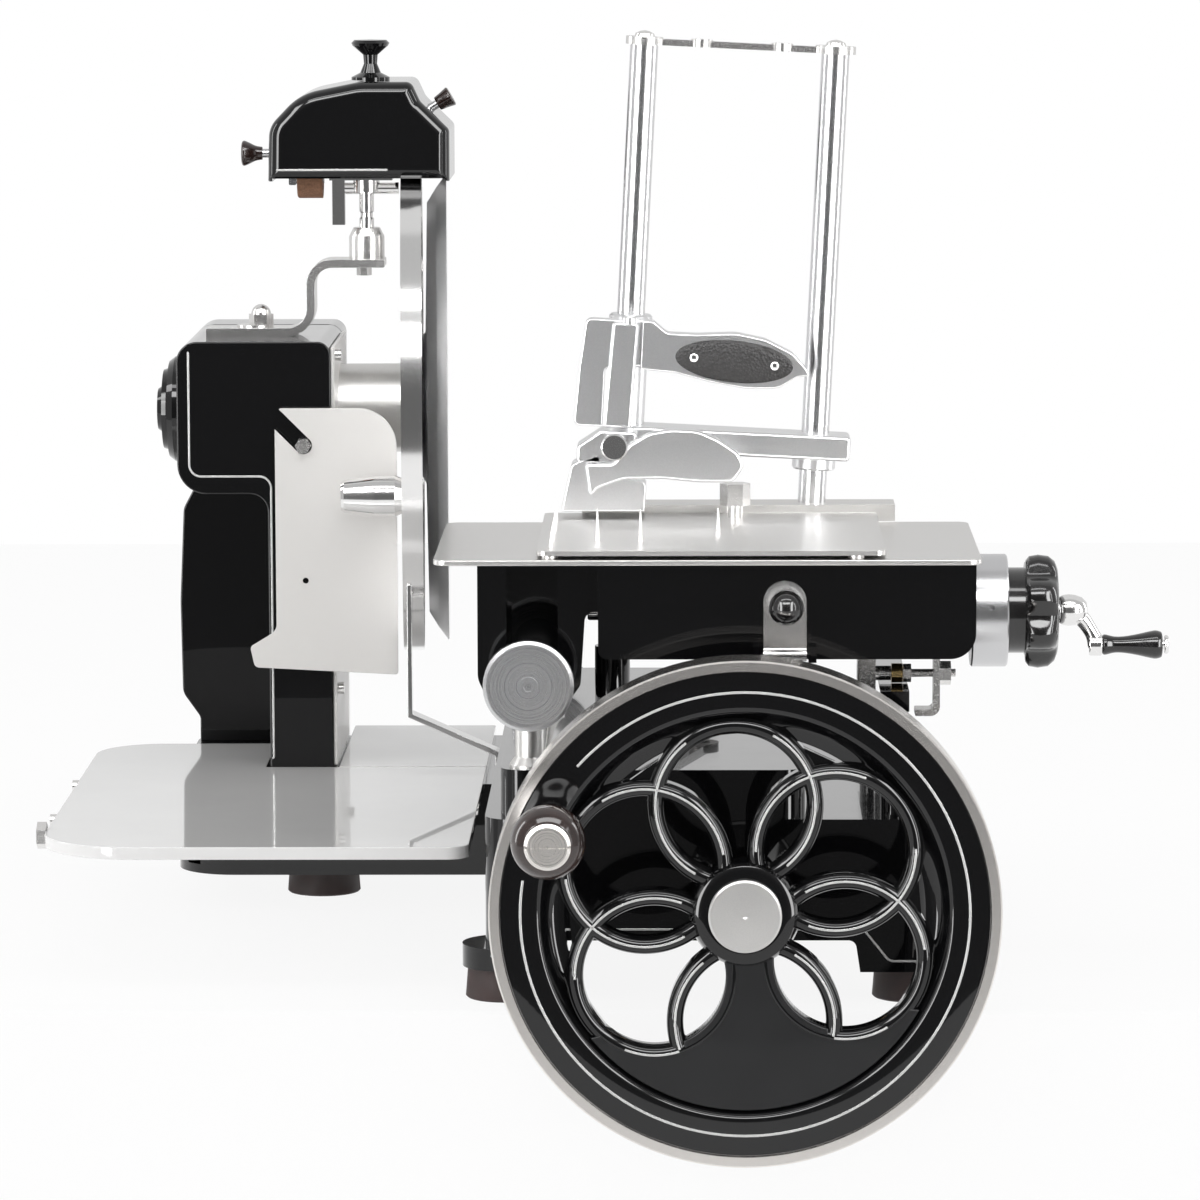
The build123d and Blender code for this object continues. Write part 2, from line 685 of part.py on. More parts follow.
def flower_windows(half):
    """The openings: each ring's inside but the lowest's, and the lens between each two rings."""
    windows = Sketch()
    for place in range(RINGS):
        inside = ring_face(place, -half)
        windows += inside & ring_face(place + 1, -half)
        if place != RINGS - 1:
            inside -= ring_face(place - 1, half)
            windows += inside - ring_face(place + 1, half)
    return windows - Circle(HUB_R + 4)


def flower_bands(half):
    """The raised bands of the rings, and the raised face that fills the lowest ring's place."""
    last = RINGS - 1
    bands = Sketch()
    for place in range(last):
        bands += ring_face(place, half) - ring_face(place, -half)
    beside = ring_face(last - 1, -half) + ring_face(0, -half)
    reach = ring_face(last - 1, 0) + ring_face(0, 0)
    left, right = [ring_angle(last) + turn * FACE_SPREAD / 2 for turn in (-1, 1)]
    face = outline([(0, 0), polar(2 * WHEEL_R, left), polar(2 * WHEEL_R, right)])
    bands += (ring_face(last, half) - ring_face(last, -half)) & reach
    bands += face - beside
    return bands & (Circle(DISH_R - 3) - Circle(HUB_R - 1))


def flywheel_rim():
    """The polished hoop round the wheel."""
    outer, inner = WHEEL_R, WHEEL_R - RIM_T
    hoop = turned([(inner, -WHEEL_W), (outer - 1, -WHEEL_W), (outer, -WHEEL_W + 1), (outer, -1),
                   (outer - 1, 0), (inner, 0)])
    return wheel_frame() * hoop


def hub_cap():
    """The satin cap over the hub."""
    cap = turned([(0, -1), (22.3, -1), (22.3, 3), (21, 4), (0, 4.5)])
    return wheel_frame() * cap


def crank_spindle():
    """The pin that the crank grip turns on, with its slotted end screw."""
    x, y = polar(CRANK_R, CRANK_ANGLE)
    end = GRIP_L + 0.4
    pin = turned([(0, -19), (SPINDLE_R, -19), (SPINDLE_R, -2), (9, -2), (9, 0), (5, 0), (5, end),
                  (14, end), (14, end + 2.6), (12, end + 3.6), (0, end + 3.6)])
    pin -= block((-14, 14), (-0.8, 0.8), (GRIP_L + 2.5, GRIP_L + 5))
    return wheel_frame() * Pos(x, y) * pin


def crank_grip():
    """The turned grip, swelling towards its end."""
    x, y = polar(CRANK_R, CRANK_ANGLE)
    bore = 5 + RUN
    grip = turned([(bore, 0.3), (12, 0.3), (14, 4), (13, 12), (15, 26), (20, 40), (GRIP_R, 54),
                   (21.5, 64), (17, 70), (14.5, GRIP_L), (bore, GRIP_L)])
    return wheel_frame() * Pos(x, y) * grip


def main_shaft():
    """The flywheel's shaft, which runs back to the gears."""
    return rod_y(WHEEL_X, (WHEEL_Y + 1, BLADE_Y - 9), WHEEL_Z, MAIN_R)


def cone_point(distance, rise):
    """Radius and height at a distance from a 45 degree cone's apex, raised off its surface."""
    share = math.sqrt(0.5)
    return (distance + rise) * share, (distance - rise) * share


def bevel_gear(pitch_radius, bore, phase=0.0):
    """A bevel gear with its apex at the origin and its back up Z, one tooth at a phase angle."""
    far = pitch_radius * math.sqrt(2)
    near = far - GEAR_FACE
    tip, root = 0.075 * pitch_radius, -0.095 * pitch_radius
    r_near, z_near = cone_point(near, root * near / far)
    r_far, z_far = cone_point(far, root)
    gear = turned([(bore, z_near), (r_near, z_near), (r_far, z_far), (r_far, z_far + 5),
                   (bore, z_far + 5)])
    ends = []
    for distance in (near, far):
        scale = distance / far
        corners = []
        for rise, wide in ((root - 0.4, 6), (tip, 2.8)):
            r, z = cone_point(distance, rise * scale)
            x, y = polar(r, wide)
            corners += [(x, y, z), (x, -y, z)] if rise < 0 else [(x, -y, z), (x, y, z)]
        ends.append(make_face(Polyline(*corners, close=True)))
    tooth = loft(ends, ruled=True)
    for place in range(TEETH):
        gear += Rot(0, 0, phase + 360 / TEETH * place) * tooth
    return gear


def main_gears():
    """The two bevel gears on the flywheel's shaft."""
    lay = Rot(90, 0, 0)
    swing = Pos(WHEEL_X, SWING_Y, WHEEL_Z) * lay * bevel_gear(GEAR_R, MAIN_R)
    cross = Pos(WHEEL_X, BLADE_Y, WHEEL_Z) * lay * bevel_gear(SMALL_GEAR_R, MAIN_R)
    return Compound([swing, cross])


def swing_gear():
    """The bevel gear on the upright shaft."""
    half_tooth = 180 / TEETH
    return Pos(WHEEL_X, SWING_Y, WHEEL_Z) * bevel_gear(GEAR_R, POST_SHAFT_R, half_tooth)


def cross_gear():
    """The bevel gear on the cross shaft."""
    half_tooth = 180 / TEETH
    lay = Rot(0, -90, 0)
    return Pos(WHEEL_X, BLADE_Y, WHEEL_Z) * lay * bevel_gear(SMALL_GEAR_R, CROSS_R, half_tooth)


def cross_shaft():
    """The shaft from the gears to the belt pulley."""
    return rod_x((PULLEY_X - 12, WHEEL_X - 10), BLADE_Y, WHEEL_Z, CROSS_R)


def swing_place():
    """The crank disc's pin at rest, in line with the carriage pin."""
    dx, dy = CARRIAGE_PIN[0] - WHEEL_X, CARRIAGE_PIN[1] - SWING_Y
    reach = math.hypot(dx, dy)
    return WHEEL_X + dx / reach * SWING_R, SWING_Y + dy / reach * SWING_R


def crank_disc():
    """The upright shaft, its crank arm with a counterweight, and the crank pin."""
    x, y = swing_place()
    shaft = rod_z(WHEEL_X, SWING_Y, (WHEEL_Z + 11.6, DISC_Z[1] + 4), POST_SHAFT_R)
    angle = math.degrees(math.atan2(y - SWING_Y, x - WHEEL_X))
    arm = slab_xy(rounded((-34, SWING_R + 14), (-14, 14), 13.5), DISC_Z)
    arm += slab_xy(Circle(34) & Pos(-34, 0) * Rectangle(68, 80), DISC_Z)
    arm += rod_z(0, 0, (TOP_Z + 3 + FACE, DISC_Z[1]), 16)
    pin = rod_z(x, y, (DISC_Z[1] - 1, PIN_HEAD_Z[0] - GAP), SWING_PIN_R)
    return shaft + Pos(WHEEL_X, SWING_Y) * Rot(0, 0, angle) * arm + pin


def connecting_rod():
    """The flat bar from the crank to the carriage pin, with an eye at each end."""
    rod = slab_xy(rounded((0, ROD_L), (-ROD_W / 2, ROD_W / 2), 2), ROD_Z)
    rod += rod_z(0, 0, ROD_Z, 13) + rod_z(ROD_L, 0, ROD_Z, 13)
    rod -= rod_z(0, 0, (ROD_Z[0] - 1, ROD_Z[1] + 1), ROD_PIN_R + RUN)
    rod -= rod_z(ROD_L, 0, (ROD_Z[0] - 1, ROD_Z[1] + 1), SWING_PIN_R + RUN)
    x, y = swing_place()
    angle = math.degrees(math.atan2(y - CARRIAGE_PIN[1], x - CARRIAGE_PIN[0]))
    return Pos(*CARRIAGE_PIN) * Rot(0, 0, angle) * rod


# Guide bar, rail and carriage ------------------------------------------------------------------

def guide_bar():
    """The polished bar that the carriage slides on."""
    return rod_y(BAR_X, BAR_Y, BAR_Z, BAR_R)


def guide_bar_caps():
    """The broad end caps with their socket screws."""
    cap = turned([(0, 0), (6, 0), (6, 1.5), (5.5, 2.5), (CAP_R - 2, 2.5), (CAP_R, 4), (CAP_R, 12),
                  (CAP_R - 2, 14), (0, 14)])
    cap -= extrude(RegularPolygon(3, 6), 2)
    front = Pos(BAR_X, BAR_Y[0] - 14, BAR_Z) * Rot(-90, 0, 0) * cap
    back = Pos(BAR_X, BAR_Y[1] + 14, BAR_Z) * Rot(90, 0, 0) * cap
    return Compound([front, back])


def guide_bar_posts():
    """The posts that hold the guide bar over the base, on flared feet."""
    front = turned([(0, TOP_Z), (13, TOP_Z), (13, TOP_Z + 2), (9.5, TOP_Z + 7), (9.5, BAR_Z), (0, BAR_Z)])
    back = turned([(0, DECK_Z), (14, DECK_Z), (14, DECK_Z + 2), (9.5, DECK_Z + 8), (9.5, BAR_Z),
                   (0, BAR_Z)])
    posts = [Pos(BAR_X, -14) * front, Pos(BAR_X, BAR_Y[1] - 12) * back]
    core = rod_y(BAR_X, (BAR_Y[0] - 5, BAR_Y[1] + 5), BAR_Z, BAR_R)
    return Compound([post - core for post in posts])


def support_rail():
    """The flat rail under the carriage's right side, on two posts."""
    y = (BASE_Y[0] + 2, BAR_Y[1] - 5)
    rail = block(RAIL_X, y, RAIL_Z)
    middle = sum(RAIL_X) / 2
    for place in (y[0] + 14, y[1] - 14):
        rail += rod_z(middle, place, (DECK_Z, RAIL_Z[0] + 1), 8)
    return rail


def feed_slot(z):
    """The slot that the feed nut's stem travels along."""
    reach = NUT_W / 2 + 2
    return block((NUT_X - FEED_LEFT - reach, NUT_X + FEED_RIGHT + reach), (SCREW_Y - 8, SCREW_Y + 8), z)


def carriage_casting():
    """The carriage's hollow box with the sleeve that runs on the guide bar."""
    face = outline([(BOX_X[0], BOX_Z[0]), (BOX_X[1], BOX_Z[0]), (BOX_X[1], BOX_Z[1]), (BOX_X[0], BOX_Z[1])],
                   [6, 16, 2, 2])
    box = slab_xz(face, BOX_Y)
    sleeve_x = (BAR_X - 33, BAR_X + 31)
    arm = outline([(BAR_X - 24, 181), (BAR_X + 20, 181), (BAR_X + 31, 196), (BAR_X + 34, BOX_Z[1] - 34),
                   (BOX_X[0] + 2, BOX_Z[1] - 34), (BOX_X[0] + 2, BOX_Z[1]), (sleeve_x[0], BOX_Z[1]),
                   (sleeve_x[0], 200)], [8, 8, 8, 6, 1, 1, 3, 14])
    box += slab_xz(arm, (0, 130))
    box -= block(*[(low + BOX_T, high - BOX_T) for low, high in (BOX_X, BOX_Y, BOX_Z)])
    box += rod_z(*CARRIAGE_PIN, (ROD_Z[1] + GAP, BOX_Z[0] + 1), 11)
    box += rod_z(*CARRIAGE_PIN, (PIN_HEAD_Z[1] - 1, BOX_Z[0]), ROD_PIN_R)
    box += rod_z(*CARRIAGE_PIN, PIN_HEAD_Z, 9)
    for x in ((28, 33), (61.5, 66.5)):
        box += block(x, (BOX_Y[0] - 9, BOX_Y[0] + 1), (BOX_Z[0] - 1, BOX_Z[0] + 9))
    box += rod_x((30, 64), LEVER_PIN[0], LEVER_PIN[1], 1.5)
    box -= feed_slot((BOX_Z[1] - BOX_T - 1, BOX_Z[1] + 1))
    box -= block((BAR_X - BAR_R, BAR_X + BAR_R + 2), (-1, SADDLE_OPEN), (170, BOX_Z[1] - BOX_T))
    box -= rod_x((BOX_X[0] - 12, BOX_X[1] + 1), SCREW_Y, SCREW_Z, SCREW_R + RUN)
    return box - rod_y(BAR_X, (-5, 140), BAR_Z, BAR_R + RUN)


def carriage_table():
    """The lower table plate."""
    plate = slab_xy(rounded(TABLE_X, TABLE_Y, 8), (BOX_Z[1], table_top()))
    return plate - feed_slot((BOX_Z[1] - 1, table_top() + 1))


def index_collar():
    """The steel collar on the carriage's right end, with a nose that carries the knob."""
    start = BOX_X[1]
    collar = turned([(SCREW_R + RUN, start), (COLLAR_R - 1, start), (COLLAR_R, start + 1),
                     (COLLAR_R, COLLAR_END - 1), (COLLAR_R - 1, COLLAR_END), (11, COLLAR_END),
                     (11, KNOB_END - 1), (SCREW_R + RUN, KNOB_END - 1)])
    collar = about_x(collar, 0, SCREW_Y, SCREW_Z)
    return collar - rod_y(start + 12, (SCREW_Y - COLLAR_R - 1, SCREW_Y - COLLAR_R + 4), SCREW_Z + 6, 2)


def thickness_knob():
    """The lobed slice thickness knob on its plain hub."""
    bore = 11 + RUN
    start = COLLAR_END + FACE
    hub = turned([(bore, start), (27, start), (27, start + 11), (bore, start + 11)])
    lobes = Circle(KNOB_R - 5)
    for place in range(7):
        x, y = polar(KNOB_R - 9, place * 360 / 7)
        lobes += Pos(x, y) * Circle(9)
    knob = Pos(0, 0, start + 11) * extrude(lobes, KNOB_END - start - 11)
    knob -= Pos(0, 0, start + 10) * extrude(Circle(bore), 40)
    return about_x(hub + knob, 0, SCREW_Y, SCREW_Z)


def feed_screw():
    """The feed screw with its small crank at the right end."""
    arm_z = SCREW_Z - FEED_ARM
    screw = about_x(turned([(0, BOX_X[0] - 8), (SCREW_R, BOX_X[0] - 8), (SCREW_R, KNOB_END + 1),
                            (9, KNOB_END + 1), (10, KNOB_END + 4), (10, KNOB_END + 13),
                            (7, KNOB_END + 18), (0, KNOB_END + 19)]), 0, SCREW_Y, SCREW_Z)
    crank = [(KNOB_END + 4, SCREW_Z - 4), (KNOB_END + 26, arm_z - 6), (KNOB_END + 27.5, arm_z + 5),
             (KNOB_END + 10, SCREW_Z + 4)]
    screw += slab_xz(outline(crank, 2), (SCREW_Y - 5, SCREW_Y + 5))
    pin = turned([(0, 20), (7, 20), (7, 28), (3, 28), (3, 67.4), (6, 67.4), (6, 70), (0, 70)])
    return screw + about_x(pin, KNOB_END, SCREW_Y, arm_z)


def feed_grip():
    """The small turned grip on the feed crank."""
    bore = 3 + RUN
    grip = turned([(bore, 0), (6, 0), (6.5, 3), (5, 9), (7, 24), (9, 34), (8, 38), (bore, 38)])
    return about_x(grip, KNOB_END + 28 + FACE, SCREW_Y, SCREW_Z - FEED_ARM)


def support_roller():
    """The brass roller that runs on the rail."""
    bore = 2.5 + RUN
    ring = turned([(bore, 0), (ROLLER_R, 0), (ROLLER_R, 7), (bore, 7)])
    return about_x(ring, 114, ROLLER_Y, ROLLER_Z)


def roller_bracket():
    """The hanger block, the roller's axle with its nuts, and the bent end plate."""
    hanger = block((92.7, 104), (ROLLER_Y - 11, ROLLER_Y + 11), (190, BOX_Z[0]))
    hanger += rod_x((103, 154), ROLLER_Y, ROLLER_Z, 2.5)
    hanger += rod_x((103, 113.7), ROLLER_Y, ROLLER_Z, 4.5)
    hanger += about_x(hexagon(10, 5), 121.3, ROLLER_Y, ROLLER_Z)
    hanger += about_x(hexagon(13, 7), 144, ROLLER_Y, ROLLER_Z)
    plate = outline([(128.5, 176), (144, 176), (144, BOX_Z[0]), (140, BOX_Z[0]), (140, 180), (128.5, 180)],
                    [1, 6, 1, 1, 3, 1])
    return hanger + slab_xz(plate, (ROLLER_Y - 9, ROLLER_Y + 9))


def release_lever():
    """The round-topped strip lever in front of the carriage."""
    y = (BOX_Y[0] - 3.3, BOX_Y[0] - GAP)
    face = outline([(34, BOX_Z[0] + 3.5), (60.5, BOX_Z[0] + 3.5), (60.5, 265), (34, 265)], [1, 1, 13, 13])
    lever = slab_xz(face, y) + rod_x((34, 60.5), LEVER_PIN[0], LEVER_PIN[1], 3.7)
    lever += rod_y(47.8, (BOX_Y[0] - 8, BOX_Y[0] - 3), 250, 3.5)
    return lever - rod_x((30, 64), LEVER_PIN[0], LEVER_PIN[1], 1.5 + RUN)


def release_ball():
    """The ball knob on the release lever."""
    ball = Pos(47.8, BOX_Y[0] - 16, 250) * Sphere(10.8)
    return ball & block((0, 100), (-100, BOX_Y[0] - 8), (200, 300))


# Meat plate and press --------------------------------------------------------------------------

def meat_plate():
    """The upper plate with its glides, its back bar and the nut under it."""
    low, high = table_top() + PLATE_FEET, plate_top()
    plate = slab_xy(rounded(PLATE_X, PLATE_Y, 6), (low, high))
    for x in (PLATE_X[0] + 8, PLATE_X[1] - 18):
        for y in (PLATE_Y[0] + 10, PLATE_Y[1] - 14):
            plate += rod_z(x, y, (table_top(), low + 1), 5)
    plate += block((PLATE_X[0] + 24, PLATE_X[1] + 12), (PLATE_Y[1] - 2, COLUMN_Y + 14),
                   (table_top(), high + 5))
    nut_x = (NUT_X - NUT_W / 2, NUT_X + NUT_W / 2)
    plate += block(nut_x, (SCREW_Y - 6, SCREW_Y + 6), (SCREW_Z + 9, low + 1))
    plate += block(nut_x, (SCREW_Y - 10, SCREW_Y + 10), (SCREW_Z - 10, SCREW_Z + 10))
    plate -= press_frame() * column_holes()
    return plate - rod_x((NUT_X - NUT_W, NUT_X + NUT_W), SCREW_Y, SCREW_Z, SCREW_R + RUN)


def column_holes():
    """The two columns' bores in the back bar, in the columns' own frame."""
    return rod_z(0, 0, (-30, 30), COLUMN_R) + rod_z(COLUMN_GAP, 0, (-30, 40), COLUMN_R)


def plate_fittings():
    """The spikes that hold the meat, and the hexagonal stop post."""
    top = plate_top()
    parts = []
    for x, y, tall in ((-68.8, 12, 20), (-42, 10, 20), (6.4, 60, 15)):
        parts.append(Pos(x, y, top) * Cone(1.6, 0.4, tall, align=(Align.CENTER, Align.CENTER, Align.MIN)))
    for place in range(8):
        parts.append(Pos(-97, -22 + place * 21, top) * Cone(
            1.4, 0.4, 9, align=(Align.CENTER, Align.CENTER, Align.MIN)))
    parts.append(Pos(17.5, 140, top) * (rod_z(0, 0, (0, 8), 5) + Pos(0, 0, 8) * hexagon(17, 14)))
    return Compound(parts)


def press_columns():
    """The two leaning columns."""
    rise = COLUMN_GAP * math.tan(math.radians(LEAN))
    left = rod_z(0, 0, (-plate_stem(), COLUMN_L), COLUMN_R)
    right = rod_z(COLUMN_GAP, 0, (rise - plate_stem(), COLUMN_L), COLUMN_R)
    return press_frame() * Compound([left, right])


def plate_stem():
    """How deep the columns stand in the back bar."""
    return PLATE_T + PLATE_FEET - 1.5


def column_bridge():
    """The thin waved bar across the columns' tops, with its discs and screws."""
    top = COLUMN_L
    bridge = rod_z(0, 0, (top, top + 5), 12) + rod_z(COLUMN_GAP, 0, (top, top + 5), 13)
    bridge += block((0, COLUMN_GAP), (-4, 4), (top, top + 4))
    for x in (COLUMN_GAP * 0.3, COLUMN_GAP * 0.72):
        bridge += rod_z(x, 0, (top, top + 5), 7)
    for x in (0, COLUMN_GAP):
        bridge += Pos(x, 0, top + 4) * turned([(0, 0), (7, 0), (6, 3), (3, 4.5), (0, 5)])
    return press_frame() * bridge


def press_beam():
    """The cross beam that slides on both columns, with the foot that bears on the meat."""
    low, high = BEAM_LOW, BEAM_LOW + BEAM_H
    beam = slab_xz(outline([(-14, low), (146, low), (146, high), (-14, high)], 3), (-24, 12))
    beam += rod_z(COLUMN_GAP, 0, (low - 8, low + 2), 14) + block((124, 146), (-20, 12), (low - 7, low + 2))
    beam += rod_z(0, 0, (high - 2, HANDLE_LOW), 12)
    foot = outline([(-38, 2.5), (15.5, 5), (15.5, 24), (1, 26), (-12, 24), (-15, 41), (-33, 33)],
                   [1, 1, 4, 8, 8, 3, 4])
    beam += slab_xz(foot, (-50, -20))
    beam += slab_xz(outline([(-30, 34), (8, 34), (8, high - 1), (-15, high - 1), (-30, 45)], 3), (-50, -20))
    beam -= rod_z(0, 0, (-20, 120), COLUMN_R + RUN) + rod_z(COLUMN_GAP, 0, (0, 120), COLUMN_R + RUN)
    beam += rod_y(PIVOT[0], (-68, -49), PIVOT[1], 5) + rod_y(PIVOT[0], (-68, -62.3), PIVOT[1], 8.5)
    return press_frame() * beam


def press_handle():
    """The upper casting: a collar on the left column, the shield, the forked arm and the handle."""
    low, beam_top = HANDLE_LOW, BEAM_LOW + BEAM_H
    casting = rod_z(0, 0, (low, low + 32), 14)
    grip = outline([(8, low), (30, low - 1), (53, low - 6), (76, low - 9), (97, low - 8), (109, low),
                    (117, low + 1), (114, low + 6), (105, low + 15), (87, low + 23), (68, low + 26),
                    (43, low + 24), (24, low + 24), (15, low + 31), (8, low + 31)],
                   [2, 20, 30, 20, 14, 2, 1, 3, 14, 14, 20, 12, 6, 3, 1])
    casting += slab_xz(grip, HANDLE_Y)
    shield = outline([(-33, beam_top + 1), (-14.5, beam_top + 1), (-14.5, low), (0, low), (0, low + 31),
                      (-28, low + 31), (-31, low)], [4, 1, 3, 1, 1, 4, 20])
    casting += slab_xz(shield, (HANDLE_Y[0], HANDLE_Y[1] - 4))
    casting += block((-12, 12), (HANDLE_Y[1] - 6, -8), (low, low + 31))
    fork = outline([(-14, beam_top + 1), (4, beam_top + 1), (6, low + 30), (-11, low + 30)], [2, 2, 3, 3])
    casting += slab_xz(fork, (-50, HANDLE_Y[0] + 2))
    casting += rod_z(0, -46, (low + 29, low + 34), 5)
    return press_frame() * (casting - rod_z(0, 0, (-20, 140), COLUMN_R + RUN))


def grip_inserts():
    """The two oval grips let onto the handle's faces, each held by two rivets."""
    front, back = HANDLE_Y
    inserts = []
    for y, out in ((front, -2.5), (back, 2.5)):
        oval = slab_xz(Ellipse(38, 13.5), sorted((y, y + out)))
        for x in (-26, 26):
            oval += rod_y(x, sorted((y, y + out * 1.2)), 0, 2.6)
        inserts.append(Pos(68, 0, HANDLE_LOW + 8) * Rot(0, 3, 0) * oval)
    return press_frame() * Compound(inserts)


def clamp_lever():
    """The leaf-shaped lower lever on its pivot."""
    leaf = outline([(-24, 35), (-6, 36), (4, 49), (16, 57), (30, 60), (47, 60), (61, 54.5), (73, 47),
                    (78, 39), (71, 28), (50, 27), (26, 28), (1, 26.5), (-15, 20), (-20, 13)],
                   [1, 3, 8, 14, 20, 20, 16, 8, 6, 6, 20, 20, 12, 6, 1])
    lever = slab_xz(leaf, (-62, -51)) + rod_y(PIVOT[0], (-62, -51), PIVOT[1], 10)
    return press_frame() * (lever - rod_y(PIVOT[0], (-70, -40), PIVOT[1], 5 + RUN))


# Output ----------------------------------------------------------------------------------------

SUBPARTS = (
    base_casting, base_pan, slice_tray, rubber_feet, frame_screws, guard_strap, shaft_bearings,
    drive_column, column_side_plate, bearing_cap, spindle_housing, blade_guard,
    guard_knob, deflector_plate, sharpener_bracket, sharpener_post, sharpener_cover, lift_knob,
    grind_knob, grind_stone, hone_knob, drive_belt, blade, blade_shaft, blade_pulley, cross_shaft,
    cross_gear, drive_pulley, flywheel, flywheel_rim, hub_cap, main_shaft, main_gears,
    crank_spindle, crank_grip, crank_disc, swing_gear, connecting_rod, guide_bar, guide_bar_caps,
    guide_bar_posts, support_rail, carriage_casting, carriage_table, index_collar, roller_bracket,
    support_roller, release_lever, release_ball, thickness_knob, feed_screw, feed_grip, meat_plate,
    plate_fittings, press_columns, column_bridge, press_beam, press_handle,
    grip_inserts, clamp_lever,
)

os.makedirs("parts", exist_ok=True)
for make in SUBPARTS:
    export_step(make(), f"parts/{make.__name__}.step")
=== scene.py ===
"""Looks of the hand crank meat slicer: enamel, polished metal and modelled pieces over its frame.

Lengths are in millimetres until a piece is made; the frame itself is in metres.
+X points right along the blade's axle, +Y away from the operator, +Z up.
"""

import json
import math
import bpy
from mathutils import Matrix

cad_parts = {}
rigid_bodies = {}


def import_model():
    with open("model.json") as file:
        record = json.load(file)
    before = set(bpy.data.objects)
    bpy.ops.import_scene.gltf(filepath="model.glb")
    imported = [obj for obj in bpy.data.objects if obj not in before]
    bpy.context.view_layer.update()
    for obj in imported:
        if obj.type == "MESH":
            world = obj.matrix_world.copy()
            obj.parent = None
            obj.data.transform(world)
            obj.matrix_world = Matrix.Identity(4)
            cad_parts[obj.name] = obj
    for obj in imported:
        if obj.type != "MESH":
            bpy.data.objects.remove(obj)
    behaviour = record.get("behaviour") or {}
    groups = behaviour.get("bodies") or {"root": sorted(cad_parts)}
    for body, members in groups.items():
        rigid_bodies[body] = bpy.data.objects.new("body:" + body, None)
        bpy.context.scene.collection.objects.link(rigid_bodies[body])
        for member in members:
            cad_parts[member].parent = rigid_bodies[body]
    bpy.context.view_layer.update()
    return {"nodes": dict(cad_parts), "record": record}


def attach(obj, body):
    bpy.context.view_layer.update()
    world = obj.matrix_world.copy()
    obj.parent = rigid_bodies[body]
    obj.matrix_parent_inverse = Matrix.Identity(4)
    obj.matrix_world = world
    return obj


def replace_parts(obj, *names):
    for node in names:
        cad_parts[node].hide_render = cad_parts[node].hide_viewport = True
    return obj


bl_info = {
    "name": "Hand crank meat slicer",
    "version": (1, 0, 0),
    "blender": (4, 5, 0),
    "location": "View3D > Sidebar > Slicer",
    "description": "Dresses the slicer's frame in enamel, polished metal and bakelite",
    "category": "Object",
}

from functools import partial

import bmesh
import bpy
from mathutils import Matrix, Vector

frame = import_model()
slot_of = {part["node"]: part["material_slot"] for part in frame["record"]["subparts"]}
body_of = {node: body for body, nodes in frame["record"]["behaviour"]["bodies"].items() for node in nodes}

WHEEL_CENTRE = (22, -110, 70.4)
RING_START = -25           # direction of the first ring of the flower, in degrees
CRANK_REACH, CRANK_ANGLE = 130, 155
FEED_AXIS = (0, 60, 235)   # on the line through the feed screw, the thickness knob and the collar
PRESS_FOOT, PRESS_LEAN = (-56.3, 185, 285), 3.0
GRIND_KNOB = (-316, 384, 506.5)

PIECE_CORNER, CAST_CORNER = 40, 42   # edges that turn by more degrees than this are rounded
SAME_POINT = 0.00002                 # points this near, in metres, are merged in a frame part's copy
FLAT_ENOUGH = 0.6                    # edges that turn by fewer degrees than this are taken out of it

CAMERA_PLACE = (-0.0043, -3.6932, 0.7235)
CAMERA_TURN, CAMERA_DIP, CAMERA_ROLL = 0.975, 7.313, -0.2


# Sizes and colours a user may change -----------------------------------------------------------

class EnamelColours(bpy.types.PropertyGroup):
    black: bpy.props.FloatVectorProperty(
        name="Black enamel", description="Stove enamel of the castings", size=3, subtype="COLOR",
        default=(0.004, 0.004, 0.0045), min=0, max=1)
    white: bpy.props.FloatVectorProperty(
        name="White enamel", description="Gloss enamel of the slice tray", size=3, subtype="COLOR",
        default=(0.87, 0.865, 0.86), min=0, max=1)
    cream: bpy.props.FloatVectorProperty(
        name="Pale enamel", description="Satin enamel of the deflector and side plate", size=3,
        subtype="COLOR", default=(0.80, 0.785, 0.765), min=0, max=1)
    stripe: bpy.props.FloatVectorProperty(
        name="Pinstripe", description="Fine silver lines on the enamel", size=3, subtype="COLOR",
        default=(0.62, 0.62, 0.61), min=0, max=1)


class GripColours(bpy.types.PropertyGroup):
    brown: bpy.props.FloatVectorProperty(
        name="Brown bakelite", description="Crank grip and small knobs", size=3, subtype="COLOR",
        default=(0.022, 0.011, 0.009), min=0, max=1)
    black: bpy.props.FloatVectorProperty(
        name="Black bakelite", description="Thickness knob and feed grip", size=3, subtype="COLOR",
        default=(0.008, 0.0075, 0.0075), min=0, max=1)


class WheelSizes(bpy.types.PropertyGroup):
    ring_radius: bpy.props.FloatProperty(
        name="Ring radius", description="Centreline of each ring of the flower, in millimetres",
        default=48.5, min=20, max=70)
    ring_out: bpy.props.FloatProperty(
        name="Ring distance", description="From the hub's middle to a ring's middle, in millimetres",
        default=67.2, min=40, max=90)
    ring_band: bpy.props.FloatProperty(
        name="Band width", description="Width of a ring's rounded band, in millimetres",
        default=10.3, min=3, max=20)
    stripe_radius: bpy.props.FloatProperty(
        name="Stripe radius", description="Pinstripe round the wheel's face, in millimetres",
        default=136.5, min=127, max=148)
    stripe_width: bpy.props.FloatProperty(
        name="Stripe width", description="Width of the wheel's silver lines, in millimetres",
        default=1.5, min=0.3, max=4)


class CastingSizes(bpy.types.PropertyGroup):
    edge: bpy.props.FloatProperty(
        name="Casting edge", description="Rounding of the castings' outer edges, in millimetres",
        default=4.0, min=0.2, max=8)
    plate_edge: bpy.props.FloatProperty(
        name="Plate edge", description="Rounding of the plates' edges, in millimetres",
        default=0.6, min=0.1, max=1.2)
    column_edge: bpy.props.FloatProperty(
        name="Column edge", description="Rounding of the drive column's edges, in millimetres",
        default=8.5, min=1, max=12)


